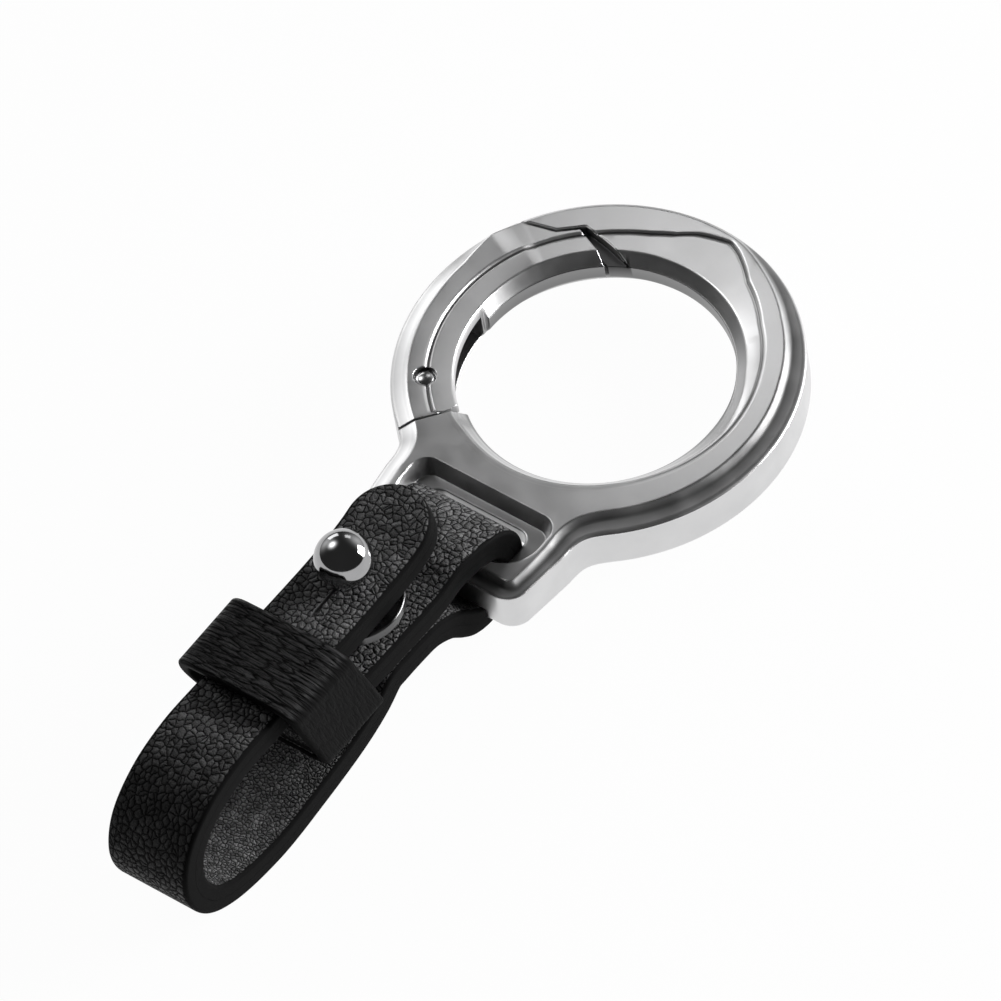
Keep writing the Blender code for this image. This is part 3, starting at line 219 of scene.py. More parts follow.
# Strap
PLY = 1.55 * MM
GLUE_LINE = 0.3 * MM
WRAP_PLAY = 0.35 * MM
MIDDLE_SAG = 0.35 * MM
HUMP_RISE = 0.9 * MM
STUD_REACH = 14.25 * MM
SHORT_END_REACH = 29.2 * MM
TIP_REACH = 2.0 * MM
TIP_LIFT = 2.1 * MM
LOOP_REACH = 51.5 * MM
LOOP_LOW_DROP = 5.8 * MM
SHORT_END_HALF_WIDTH = 5.45 * MM
WRAP_HALF_WIDTH = 6.4 * MM
LOOP_HALF_WIDTH = 5.4 * MM
TONGUE_HALF_WIDTH = 4.95 * MM
SLIT_LENGTH = 5.0 * MM
SLIT_WIDTH = 0.5 * MM
SLIT_WIDEST_SHARE = 0.8
STRAP_STEP = 0.3 * MM
STRAP_COLUMNS = 36
BACK_COLUMNS = 6
EDGE_STEPS = 6
EDGE_ROUND = 0.5 * MM
SEAM = 0.03 * MM
CURVE_STEPS = 24
TIP_STEPS = 26
TIP_END_SHARE = 0.06

# Where the route's points lie along its spans, and how far up each rises.
MIDDLE_SHARES = ((0.0, 0.0), (0.35, 0.0), (0.54, 0.3), (0.72, 1.0), (0.87, 0.9))
WRAP_ANGLES = (80, 50, 20, -10, -40, -70, -95, -118, -140)
BACK_SHARES = ((0.385, 0.33), (0.59, 0.05), (0.78, 0.0), (1.0, 0.0))
LOW_SHARES = ((0.04, 0.02), (0.115, 0.32), (0.22, 0.58), (0.42, 0.84), (0.645, 1.0), (0.85, 0.78))
BEND_SHARES = ((0.951, 0.22), (1.0, 0.49), (0.965, 0.76), (0.86, 0.94))
FRONT_SHARES = ((0.72, 1.02), (0.55, 1.02), (0.30, 1.01), (0.0, 1.0))
TONGUE_SHARES = ((0.45, 0.22), (0.76, 0.68), (1.0, 1.0))

# Keeper
KEEPER_LENGTH = 10.1 * MM
KEEPER_WALL = 1.4 * MM
KEEPER_REACH = 18.9 * MM
SMOOTH_WALL = 0.85              # how smooth the keeper's side walls are worn
SMOOTH_FROM = 0.6               # how steep a wall is where that begins
KEEPER_LEAN_SHARE = 0.33
KEEPER_SIDE_PLAY = 0.5 * MM
KEEPER_TOP_PLAY = 0.5 * MM
KEEPER_BULGE = 1.7 * MM
KEEPER_BULGE_SHARE = 0.25
KEEPER_CROWN = 0.4 * MM
BULGE_HEIGHT_SHARE = 0.3
BULGE_WIDTH_SHARE = 0.4
CROWN_HEIGHT_SHARE = 0.2
KEEPER_CORNER = 0.9 * MM
KEEPER_CORNER_STEPS = 14
KEEPER_SIDE_STEPS = 44
KEEPER_LENGTH_STEPS = 36
KEEPER_INNER_STEPS = 8

# Ball stud
BALL_RADIUS = 3.2 * MM
NECK_RADIUS = 1.4 * MM
FLANGE_RADIUS = 5.8 * MM
FLANGE_THICKNESS = 1.3 * MM
FLANGE_EDGE = 0.3 * MM
COLLAR_RADIUS = 3.3 * MM
COLLAR_HEIGHT = 2.15 * MM
SHANK_RADIUS = 1.6 * MM
SCREW_RADIUS = 0.9 * MM
SCREW_STANDOFF = 0.5 * MM
SCREW_LENGTH = 5.0 * MM
SCREW_HEAD_RADIUS = 1.9 * MM
SCREW_HEAD_HEIGHT = 1.1 * MM
SCREW_SLOT_WIDTH = 0.7 * MM
SCREW_SLOT_DEPTH = 0.5 * MM
TURN_STEPS = 96
BALL_STEPS = 40

# Metals: darkest and lightest colour, and roughness
PEWTER = ((0.6, 0.6, 0.605), (0.9, 0.9, 0.9), 0.34)
STEEL = ((0.42, 0.42, 0.43), (0.6, 0.6, 0.6), 0.25)
CHROME = ((0.3, 0.3, 0.305), (0.42, 0.42, 0.425), 0.09)
PAINTED_SHADE_SHARE = 0.25               # how light the painted shade leaves the stud's lower part and the leather at the loop's end
EDGE_RADIUS = 0.16 * MM         # of the metal's rounded edges, and wider round the plate's pocket
POCKET_ROUND = 0.45 * MM
POCKET_ZONE = (-20.5 * MM, -21.5 * MM)
BEVEL_SAMPLES = 8
BENT_RANGE = (0.995, 0.85)      # how far an edge's rounding turns the surface
# How much rounded edges and worn places are painted lighter, partly wear and partly painted highlight.
BENT_WEIGHT = 0.7
WEAR_AND_HIGHLIGHT_WEIGHT = 0.8
METAL_PATCHES = 260
CHROME_PATCHES = 400
BLAST_SCALE = 9000
BLAST_DEPTH = 0.003 * MM
SCUFF_SCALES = (400, 2600, 900)
SCUFF_DEPTH = 0.002 * MM

# Leathers: size of a pebble, lightest colour and roughness; the strap's and lining's light colours are
# painted sheen on the pebble tops
STRAP_LEATHER = (0.75 * MM, (0.24, 0.24, 0.242), 0.36)
LINING_LEATHER = (0.48 * MM, (0.26, 0.26, 0.262), 0.3)
KEEPER_LEATHER = (0.9 * MM, (0.045, 0.045, 0.046), 0.4)
LEATHER_DARK = (0.0022, 0.0022, 0.0023)
LEATHER_SPECULAR = 0.06
PAINT_ROUGHNESS = 0.7           # of painted edges and crevices
GRAIN_DEPTH = 0.45 * MM
DOME_POWER = 2.2                # how full a pebble is
PEBBLE_WIDTH = 0.5
SMALL_PEBBLES = 2.4
SMALL_WIDTH = 0.3
WARP_SCALE = 0.7
# Where the crevices' painted shade gives way to the tops' painted sheen.
CREVICE_RANGE = (0.12, 0.65)
PORE_SCALE = 7.0
PORE_HEIGHT = 0.08
FOLD_SCALES = (260, 1500, 1.0)
STRAP_WRINKLE = 0.7
KEEPER_WRINKLE = 0.9
KEEPER_STRETCH = (0.3, 1.5)
CREASE_SETBACK = 3.0 * MM       # of the folds' middle from the bar
CREASE_REACH = 8.0 * MM
PAINTED_SHADE_REACH = 18.0 * MM       # of the painted shade, from the loop's end
LINING_OFFSET = 0.05            # keeps the lining's grain apart from the face's

# Camera and stage
CAMERA_BACK = Vector((0.4314, -0.4365, 0.7896)).normalized()
CAMERA_RIGHT = Vector((0.7994, 0.5909, -0.1101))
IMAGE_WIDTH = 1001
RING_CENTRE_PIXEL = (598.5, 370.7)
PIXELS_PER_RADIUS = 209.61
CAMERA_DISTANCE = 1.71
SENSOR_WIDTH = 36.0
CLIP_RANGE = (0.01, 50)
FLOOR_SIZE = 8.0
FLOOR_COLOUR = (0.8, 0.8, 0.8, 1)
FLOOR_GLOW = 0.97

# Lamps: direction, distance, size, power and how far from the ring's centre they aim, or None for the
# middle of the picture
LAMPS = {
    "softbox": ((-0.43, 0.44, 0.79), 0.1, (0.035, 0.035), 0.005, (5 * MM, 19 * MM, 0)),
    "key": ((-0.9, 0.5, 0.35), 1.2, (0.5, 0.35), 1.2, None),
    "fill": ((0.65, 0.72, 0.32), 0.5, (0.25, 0.25), 4.0, None),
}

# Sky: direction, sharpness and strength of its soft lights, over an even base.
SKY_BASE = 0.04
SKY = (
    ((-0.93, 0.1, 0.3), 20, 0.9),
    ((0.1, 0.95, 0.3), 14, 0.9),
    ((-0.66, 0.02, 0.75), 60, 5.0),
)

# Worked-out sizes
BAND = RING_RADIUS - OPENING_RADIUS
BACK_OPENING_BEVEL = BAND * BACK_BEVEL_SHARE
PLATE_REACH = RING_RADIUS + PLATE_LENGTH
PLATE_WAIST = PLATE_REACH - WAIST_RISE
RING_TURN = 180 - 2 * PLATE_LEAVE_ANGLE
PLATE_CREST = CREST_HEIGHT * PLATE_CREST_SHARE
SLOT_BOTTOM = PLATE_REACH - BAR_WIDTH
SLOT_TOP = SLOT_BOTTOM - SLOT_HEIGHT
POCKET_TOP = SLOT_TOP - POCKET_SHOULDER
POCKET_BOTTOM = SLOT_BOTTOM + BAR_BEVEL
BACK_POCKET_BOTTOM = PLATE_REACH - PLATE_BEVEL - RIM_LAND
STRAP_THICKNESS = 2 * PLY + GLUE_LINE
HALF_STRAP = STRAP_THICKNESS / 2
BAR_HALF_WIDTH = (PLATE_REACH - SLOT_BOTTOM) / 2
BAR_HALF_HEIGHT = (PLATE_CREST - BACK_POCKET_FLOOR) / 2
BAR = Vector((-(SLOT_BOTTOM + PLATE_REACH) / 2, (PLATE_CREST + BACK_POCKET_FLOOR) / 2))
BAR_RADIUS = max(math.hypot(BAR_HALF_WIDTH - BAR_BEVEL, BAR_HALF_HEIGHT),
                 math.hypot(BAR_HALF_WIDTH, BAR_HALF_HEIGHT - BAR_BEVEL))
WRAP_RADIUS = BAR_RADIUS + WRAP_PLAY + HALF_STRAP
STUD_Y = BAR.x - STUD_REACH
MIDDLE_Z = BAR.y + WRAP_RADIUS - MIDDLE_SAG
BACK_Z = MIDDLE_Z - STRAP_THICKNESS - GAP
COLLAR_Z = MIDDLE_Z + HALF_STRAP + GAP
FLANGE_Z = COLLAR_Z + COLLAR_HEIGHT
TONGUE_Z = FLANGE_Z + FLANGE_THICKNESS + GAP + HALF_STRAP
TONGUE_TOP = TONGUE_Z + HALF_STRAP
STUD_HOLE = NECK_RADIUS + GAP
SHANK_HOLE = SHANK_RADIUS + PIN_FIT
BALL_Z = TONGUE_TOP + GAP + math.sqrt(BALL_RADIUS ** 2 - STUD_HOLE ** 2)
SHANK_END = BACK_Z - HALF_STRAP - SCREW_STANDOFF
LUG_BOTTOM = CHANNEL_BOTTOM + GAP
LUG_TOP = LUG_BOTTOM + LUG_THICKNESS
CHANNEL_RADIUS = RING_RADIUS - BAND * CHANNEL_WALL_SHARE
CHEEK_RADIUS = OPENING_RADIUS + BAND * CHEEK_SHARE
PIN_RADIUS = BAND * PIN_SHARE
PIN_HEAD_RADIUS = BAND * PIN_HEAD_SHARE
PIN_RECESS_RADIUS = BAND * PIN_RECESS_SHARE
KNUCKLE_RADIUS = BAND * KNUCKLE_SHARE
COIL_RADIUS = BAND * COIL_SHARE
LEG_REACH = BAND * LEG_SHARE
HINGE_RADIUS = OPENING_RADIUS + BAND * HINGE_SHARE
HINGE = Vector((HINGE_RADIUS * math.cos(math.radians(HINGE_ANGLE)),
                HINGE_RADIUS * math.sin(math.radians(HINGE_ANGLE))))

LEAST_TURN = TURN_STEP / 30
CUT_LOW = -BODY_DEPTH - OVERRUN
CUT_HIGH = CREST_HEIGHT + OVERRUN
EDGE_ARC = [(math.sin(t), 1 - math.cos(t)) for t in np.radians(np.linspace(0, 90, EDGE_STEPS + 1)[1:])]

ring_low, ring_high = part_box("ring_body")
CENTRE = Vector((0, ring_high.y - RING_RADIUS, ring_low.z + BODY_DEPTH))


# Small helpers

def mix(a, b, share):
    return a + (b - a) * share


def ease(share):
    share = min(max(share, 0.0), 1.0)
    return share * share * (3 - 2 * share)


def polar(radius, degrees):
    angle = math.radians(degrees)
    return Vector((radius * math.cos(angle), radius * math.sin(angle)))


def bearing(vector):
    return math.degrees(math.atan2(vector.y, vector.x))


def arc(centre, radius, start, end, steps):
    return [Vector(centre) + polar(radius, mix(start, end, i / steps)) for i in range(steps + 1)]


def mirrored(points):
    return [Vector((-p.x, p.y)) for p in points[::-1]]


def rounded_box(half_width, low, high, corner, foot=None, steps=CORNER_STEPS):
    """A rounded rectangle about the Y axis in plan, anticlockwise; foot is the radius of its low corners."""
    foot = foot or corner
    right = arc((half_width - foot, low + foot), foot, -90, 0, steps)
    right += arc((half_width - corner, high - corner), corner, 0, 90, steps)
    return right + mirrored(right)


def run_lengths(points):
    lengths = [0.0]
    for a, b in zip(points[:-1], points[1:]):
        lengths.append(lengths[-1] + (b - a).length)
    return lengths


def place_at(distance, lengths, points):
    """The point at a distance along a polyline whose run lengths are known."""
    return Vector([np.interp(distance, lengths, values) for values in zip(*points)])


def spread_along(points, partners, count):
    """The partner places of evenly spaced points along a polyline."""
    lengths = run_lengths(points)
    return [place_at(s, lengths, partners) for s in np.linspace(0, lengths[-1], count + 1)]


def spread(points, count):
    return spread_along(points, points, count)


def shifted_path(points, distance):
    """A polyline moved to its left by a distance, its corners kept sharp."""
    runs = [(b - a).normalized() for a, b in zip(points[:-1], points[1:])]
    normals = [Vector((-run.y, run.x)) for run in runs]
    moved = [points[0] + normals[0] * distance]
    for before, after, point in zip(normals[:-1], normals[1:], points[1:-1]):
        middle = (before + after).normalized()
        moved.append(point + middle * (distance / middle.dot(before)))
    return moved + [points[-1] + normals[-1] * distance]


def between(p, q, start, end, t):
    return p * ((end - t) / (end - start)) + q * ((t - start) / (end - start))


def smooth_curve(points, step):
    """A smooth curve through the points, centripetal Catmull-Rom, sampled about every step."""
    ends = [2 * points[0] - points[1]] + points + [2 * points[-1] - points[-2]]
    curve = []
    for p in zip(ends[:-3], ends[1:-2], ends[2:-1], ends[3:]):
        t = [0.0]
        for a, b in zip(p[:-1], p[1:]):
            t.append(t[-1] + math.sqrt((b - a).length))
        for i in range(CURVE_STEPS):
            now = mix(t[1], t[2], i / CURVE_STEPS)
            a = [between(p[k], p[k + 1], t[k], t[k + 1], now) for k in range(3)]
            b = [between(a[k], a[k + 1], t[k], t[k + 2], now) for k in range(2)]
            curve.append(between(*b, t[1], t[2], now))
    curve.append(points[-1])
    return spread(curve, round(run_lengths(curve)[-1] / step))


# Mesh helpers. Pieces are linked to the scene; tools are cutters, used and then removed.

def new_object(name, data):
    obj = bpy.data.objects.new(name, data)
    bpy.context.scene.collection.objects.link(obj)
    return obj


def mesh_object(name, bm):
    for face in bm.faces:
        face.smooth = True
    mesh = bpy.data.meshes.new(name)
    bm.to_mesh(mesh)
    bm.free()
    obj = new_object(name, mesh)
    obj.location = CENTRE
    bpy.context.view_layer.update()
    return obj


def poly_curve(name, dimensions, points):
    """A curve object with straight runs between points."""
    curve = bpy.data.curves.new(name, "CURVE")
    curve.dimensions = dimensions
    spline = curve.splines.new("POLY")
    spline.points.add(len(points) - 1)
    for point, place in zip(spline.points, points):
        point.co = (*place, 1)
    return new_object(name, curve)


def evaluated_mesh(obj):
    bpy.context.view_layer.update()
    return bpy.data.meshes.new_from_object(obj.evaluated_get(bpy.context.evaluated_depsgraph_get()))


def loft(name, loops, closed=False, values=None):
    """A solid through loops of equally many points; values holds named attributes, a row for each loop."""
    bm = bmesh.new()
    values = values or {}
    layers = {key: bm.verts.layers.float.new(key) for key in values}
    rows = []
    for k, loop in enumerate(loops):
        row = [bm.verts.new(p) for p in loop]
        for key, layer in layers.items():
            for vertex, value in zip(row, values[key][k]):
                vertex[layer] = value
        rows.append(row)
    pairs = list(zip(rows[:-1], rows[1:]))
    if closed:
        pairs.append((rows[-1], rows[0]))
    for low, high in pairs:
        for i in range(len(low)):
            j = (i + 1) % len(low)
            bm.faces.new((low[i], low[j], high[j], high[i]))
    if not closed:
        bm.faces.new(rows[0])
        bm.faces.new(rows[-1])
    bmesh.ops.recalc_face_normals(bm, faces=bm.faces)
    return mesh_object(name, bm)


def raised(outline, height):
    return [(p[0], p[1], height) for p in outline]


def prism(outline, low=CUT_LOW, high=CUT_HIGH):
    """A cutter with a flat outline from low to high."""
    shape = poly_curve("cutter_curve", "2D", raised(outline, 0))
    shape.data.fill_mode = "BOTH"
    shape.data.extrude = (high - low) / 2
    shape.data.splines[0].use_cyclic_u = True
    bm = bmesh.new()
    bm.from_mesh(evaluated_mesh(shape))
    bmesh.ops.remove_doubles(bm, verts=bm.verts, dist=WELD)
    bmesh.ops.translate(bm, verts=bm.verts, vec=(0, 0, (low + high) / 2))
    bmesh.ops.recalc_face_normals(bm, faces=bm.faces)
    bpy.data.objects.remove(shape, do_unlink=True)
    return mesh_object("cutter", bm)


def cylinder(radius, low, high, place):
    bm = bmesh.new()
    bmesh.ops.create_cone(bm, cap_ends=True, segments=HOLE_STEPS, radius1=radius, radius2=radius,
                          depth=high - low)
    bmesh.ops.translate(bm, verts=bm.verts, vec=(place[0], place[1], (low + high) / 2))
    return mesh_object("cutter", bm)


def apply_modifiers(obj):
    mesh = evaluated_mesh(obj)
    obj.modifiers.clear()
    old = obj.data
    obj.data = mesh
    mesh.name = obj.name
    bpy.data.meshes.remove(old)


def cut(obj, tools):
    """Cuts or joins tools, given as (operation, object), then smooths all but the sharp edges.

    Corners on the uncut surface keep its painted shade and its wear with painted highlight; the others take
    those of a cut face.
    """
    known = {key: [item.value for item in obj.data.attributes[key].data]
             for key in CUT_SHARES if key in obj.data.attributes}
    corners = [vertex.co.copy() for vertex in obj.data.vertices]
    faces = [tuple(face.vertices) for face in obj.data.polygons]
    surface = BVHTree.FromPolygons(corners, faces)
    for operation, tool in tools:
        change = obj.modifiers.new("cut", "BOOLEAN")
        change.operation = operation
        change.solver = "EXACT"
        change.object = tool
    apply_modifiers(obj)
    for operation, tool in tools:
        bpy.data.objects.remove(tool, do_unlink=True)
    bm = bmesh.new()
    bm.from_mesh(obj.data)
    bmesh.ops.remove_doubles(bm, verts=bm.verts, dist=WELD)
    bmesh.ops.dissolve_degenerate(bm, edges=bm.edges, dist=WELD)
    for edge in bm.edges:
        edge.smooth = len(edge.link_faces) == 2 and edge.calc_face_angle(0) < math.radians(SHARP_ANGLE)
    for face in bm.faces:
        face.smooth = True
    layers = {key: bm.verts.layers.float[key] for key in known}
    for vertex in bm.verts:
        place, normal, index, distance = surface.find_nearest(vertex.co)
        weights = poly_3d_calc([corners[i] for i in faces[index]], place)
        for key, layer in layers.items():
            value = sum(known[key][i] * weight for i, weight in zip(faces[index], weights))
            vertex[layer] = value if distance < CUT_REACH else CUT_SHARES[key]
    bm.to_mesh(obj.data)
    bm.free()


def finished(obj, material):
    """The piece with its material, its broad faces kept flat where they meet small ones."""
    obj.data.materials.append(material)
    normals = obj.modifiers.new("normals", "WEIGHTED_NORMAL")
    normals.mode = "FACE_AREA_WITH_ANGLE"
    normals.keep_sharp = True
    return obj


def turned(name, profile, place):
    """A turned solid: its profile of radius and height runs from the top of the axis to the bottom."""
    bm = bmesh.new()
    rows = []
    for radius, height in profile:
        count = TURN_STEPS if radius else 1
        turns = [2 * math.pi * k / count for k in range(count)]
        ring = [(place[0] + radius * math.cos(t), place[1] + radius * math.sin(t), height) for t in turns]
        rows.append([bm.verts.new(point) for point in ring])
    for low, high in zip(rows[:-1], rows[1:]):
        for i in range(TURN_STEPS):
            j = (i + 1) % TURN_STEPS
            corners = [low[i % len(low)], low[j % len(low)], high[j % len(high)], high[i % len(high)]]
            bm.faces.new(list(dict.fromkeys(corners)))
    bmesh.ops.recalc_face_normals(bm, faces=bm.faces)
    return mesh_object(name, bm)


def cap(radius, rise, base, turn=90, steps=CAP_STEPS):
    """The profile of a domed end, from the axis outwards."""
    turns = np.radians(np.linspace(0, turn, steps + 1))
    return [(radius * math.sin(t), base + rise * math.cos(t)) for t in turns]


def rounded_corner(before, point, after, share):
    """Three points in place of a corner, whose fillet takes at most a share of its sides."""
    back = before - point
    ahead = after - point
    size = min(FILLET, back.length * share, ahead.length * share)
    first = point + back.normalized() * size
    last = point + ahead.normalized() * size
    return [first, (first + last) / 4 + point / 2, last]


def filleted(profile):
    """A profile with its inner corners rounded."""
    points = [Vector(p) for p in profile]
    smooth = [points[0]]
    for corner in zip(points[:-2], points[1:-1], points[2:]):
        smooth += rounded_corner(*corner, TURNED_FILLET_SHARE)
    return smooth + [points[-1]]


# Outlines of the ring and the plate

def table_at(table, degrees):
    """The values of a table's row at an angle round the ring, without the angle."""
    angles = [row[0] for row in table]
    return [float(np.interp(degrees, angles, column)) for column in list(zip(*table))[1:]]


def plate_outline():
    leave = polar(RING_RADIUS, PLATE_LEAVE_ANGLE)
    tangent = Vector((leave.y, -leave.x)).normalized()
    waist = Vector((PLATE_HALF_WIDTH, -PLATE_WAIST))
    handle = (waist - leave).length / 2
    right = []
    for i in range(FILLET_STEPS + 1):
        t = i / FILLET_STEPS
        right.append((1 - t) ** 3 * leave + 3 * t * (1 - t) ** 2 * (leave + tangent * handle)
                     + 3 * t * t * (1 - t) * (waist + Vector((0, handle))) + t ** 3 * waist)
    corner = (PLATE_FOOT_HALF_WIDTH - PLATE_CORNER, PLATE_CORNER - PLATE_REACH)
    right += arc(corner, PLATE_CORNER, 0, -90, CORNER_STEPS * 2)
    right.reverse()
    return mirrored(right) + right


def edge_station(point, inward, angle, plate):
    """The face's sizes at a point of the outer edge; plate is how far the plate's replace the ring's."""
    crease, crest, height, hollow, depth = table_at(FACET_SHARES, angle)
    return {"point": point, "inward": inward, "angle": angle, "plate": plate, "hollow": hollow,
            "inset": mix(BAND * (1 - crest), PLATE_BEVEL, plate),
            "crest": mix(CREST_HEIGHT * height, PLATE_CREST, plate)}


def edge_stations():
    """The body's outer edge, anticlockwise: a dictionary for each point, with the face's sizes there."""
    stations = []
    for i in range(RING_STEPS):
        angle = mix(PLATE_LEAVE_ANGLE, PLATE_LEAVE_ANGLE + RING_TURN, i / RING_STEPS)
        stations.append(edge_station(polar(RING_RADIUS, angle), polar(-1.0, angle), angle, 0.0))
    outline = plate_outline()
    edge = spread(outline, PLATE_STEPS)
    inner_edge = spread_along(outline, shifted_path(outline, WELD), PLATE_STEPS)
    for i in range(PLATE_STEPS):
        t = i / PLATE_STEPS
        side_angle = 180 - PLATE_LEAVE_ANGLE if t < 0.5 else PLATE_LEAVE_ANGLE
        blend = ease(min(t, 1 - t) / PLATE_BLEND_SHARE)
        station = edge_station(edge[i], (inner_edge[i] - edge[i]).normalized(), side_angle, blend)
        crest = station["point"] + station["inward"] * station["inset"]
        station["angle"] = max(bearing(crest) % 360, stations[-1]["angle"] + LEAST_TURN)
        into_hollow = (t - PLATE_HOLLOW_START_SHARE) / (PLATE_HOLLOW_END_SHARE - PLATE_HOLLOW_START_SHARE)
        station["hollow"] = ease(into_hollow)
        stations.append(station)
    for station in stations:
        shares = table_at(FACET_SHARES, station["angle"])
        if station["angle"] > 360 + FACET_SHARES[0][0]:
            shares = FACET_SHARES[0][1:]
        station["crease"], station["depth"] = shares[0], shares[4]
        station["ledge"], station["edge"], height = table_at(EDGE_SHARES, station["angle"])
        station["edge height"] = min(CREST_HEIGHT * height, station["crest"])
    return stations


def face_profile(station):
    """The face between the opening and the crest: places across the band and heights."""
    lip = station["crease"] - CREASE_SHARE / 2
    lip_height = min(LIP_HEIGHT, station["crest"])
    profile = [(0.0, mix(-BEVEL_DROP, -LEDGE_DROP, station["ledge"]))]
    steps = ((LEDGE_SHARE, LEDGE_SLOPE - LEDGE_DROP), (station["edge"], station["edge height"]))
    for along, (place, height) in zip(BEVEL_SHARES, steps):
        profile.append((mix(lip * along, place, station["ledge"]),
                        mix(mix(-BEVEL_DROP, lip_height, along), height, station["ledge"])))
    profile.append((lip, lip_height))
    profile.append((station["crease"], lip_height - CREASE_DEPTH * station["depth"]))
    profile.append((lip + CREASE_SHARE, lip_height))
    return profile


def outer_profile(station):
    """The face from the crest to the back: distances from the outer edge and heights."""
    rise = station["crest"] - RIM_HEIGHT
    profile = [(station["inset"], station["crest"])]
    for ring, plate in zip(HOLLOW_SHARES, PLATE_HOLLOW_SHARES):
        along = mix(ring[0], plate[0], station["plate"])
        share = mix(1 - along, mix(ring[1], plate[1], station["plate"]), station["hollow"])
        profile.append((station["inset"] * (1 - along), RIM_HEIGHT + rise * share))
    return profile + [(0, RIM_HEIGHT), (0, BACK_BEVEL - BODY_DEPTH), (BACK_BEVEL, -BODY_DEPTH)]


def ring_blank(name):
    """The whole ring with its plate, its long edges rounded, its painted shade, and its wear with painted
    highlight.
    """
    rows, painted_shades, wears_and_highlights = [], [], []
    for station in edge_stations():
        row = [(0.0, -OPENING_WALL_DROP)] + face_profile(station)
        row = [(*polar(OPENING_RADIUS + BAND * share, station["angle"]), height) for share, height in row]
        for distance, height in outer_profile(station):
            row.append((*(station["point"] + station["inward"] * distance), height))
        row.append((*polar(OPENING_RADIUS + BACK_OPENING_BEVEL, station["angle"]), -BODY_DEPTH))
        row = [Vector(point) for point in row]
        rounded = []
        for corner in zip(row[-1:] + row[:-1], row, row[1:] + row[:1]):
            rounded += rounded_corner(*corner, RING_FILLET_SHARE)
        rows.append(rounded)
        # Painted shade: darker in the crease and the hollow, as deep as they are.
        painted_shade_and_tone = list(PAINTED_SHADE_SHARES)
        painted_shade_and_tone[HOLLOW_PLACE] = mix(1.0, painted_shade_and_tone[HOLLOW_PLACE], station["hollow"])
        painted_shade_and_tone[CREASE_PLACE] = mix(1.0, painted_shade_and_tone[CREASE_PLACE], station["depth"])
        painted_shades.append([value for value in painted_shade_and_tone for k in range(3)])
        # Wear with painted highlight on the middle of each corner's fillet.
        worn_and_highlit = list(WEAR_AND_HIGHLIGHT_SHARES)
        worn_and_highlit[HOLLOW_PLACE] = mix(PLAIN_WEAR_AND_HIGHLIGHT, worn_and_highlit[HOLLOW_PLACE], station["hollow"])
        wears_and_highlights.append([value * share for value in worn_and_highlit for share in (0.0, 1.0, 0.0)])
    values = {"painted_shade_and_tone": list(zip(*painted_shades)), "wear_and_highlight": list(zip(*wears_and_highlights))}
    return loft(name, [list(loop) for loop in zip(*rows)], closed=True, values=values)


# Lines that part the gate from the ring

def lip_path():
    """The side of the gate's nose that lies along the ring's lip, from outside the ring inwards."""
    points = [polar(RING_RADIUS * share, angle) for angle, share in LIP_SHARES]
    outside = points[0] + (points[0] - points[1]).normalized() * OVERRUN * 2
    return [outside] + points


def along_lip(reach):
    """The ring's side of the lip, from outside inwards to a distance from the pin."""
    path = shifted_path(lip_path(), LIP_GAP)
    while (path[-2] - HINGE).length > reach:
        path.pop()
    run = (path[-1] - path[-2]).normalized()
    offset = path[-1] - HINGE
    along = offset.dot(run)
    path[-1] += run * (math.sqrt(along ** 2 + reach ** 2 - offset.length_squared) - along)
    return path


def round_pin(start, reach, end_radius):
    """An arc about the pin from a bearing inwards to a radius of the ring."""
    turn = 0.0
    while (HINGE + polar(reach, start - turn)).length > end_radius:
        turn += TURN_STEP
    return arc(HINGE, reach, start, start - turn, FILLET_STEPS)[1:]


def lip_face():
    """The ring's side of the joint over the shelf: along the lip, round the pin and out to the opening."""
    path = along_lip(LIP_REACH)
    path += round_pin(bearing(path[-1] - HINGE), LIP_REACH, OPENING_RADIUS + BAND * LIP_END_SHARE)
    end = polar(OPENING_RADIUS, LIP_END_ANGLE)
    return path + [end, end * 2 - path[-1]]


def shelf_face():
    """The ring's side of the joint below the shelf's top, close to the gate's end."""
    path = along_lip(HEEL_REACH + GATE_GAP)
    return path + round_pin(bearing(path[-1] - HINGE), HEEL_REACH + GATE_GAP, OPENING_RADIUS - OVERRUN)


def heel_outline():
    """The area beyond the gate's end under its nose."""
    far = LIP_REACH + OVERRUN
    inner = arc(HINGE, HEEL_REACH, HEEL_ANGLES[0], HEEL_ANGLES[1], AREA_STEPS)
    return inner + arc(HINGE, far, HEEL_ANGLES[1], HEEL_ANGLES[0], AREA_STEPS)


def gate_outline():
    """The area that the gate takes in plan."""
    along = polar(1.0, SPLIT_ANGLE)
    across = Vector((-along.y, along.x))
    foot = along * HINGE.dot(along)
    reach = (foot - HINGE).length
    points = [along * (RING_RADIUS + OVERRUN * 2), foot]
    points += arc(HINGE, reach, bearing(across), bearing(across) + FOOT_TURN, FILLET_STEPS)[1:]
    start = SPLIT_ANGLE - INNER_SETBACK
    points += arc((0, 0), OPENING_RADIUS - OVERRUN, start, NOSE_SHARES[-1][0], AREA_STEPS)
    points += [polar(RING_RADIUS * share, angle) for angle, share in NOSE_SHARES[::-1]]
    points += lip_path()[::-1]
    points += arc((0, 0), RING_RADIUS + OVERRUN * 2, AREA_ANGLE, SPLIT_ANGLE, AREA_STEPS)[:-1]
    return points


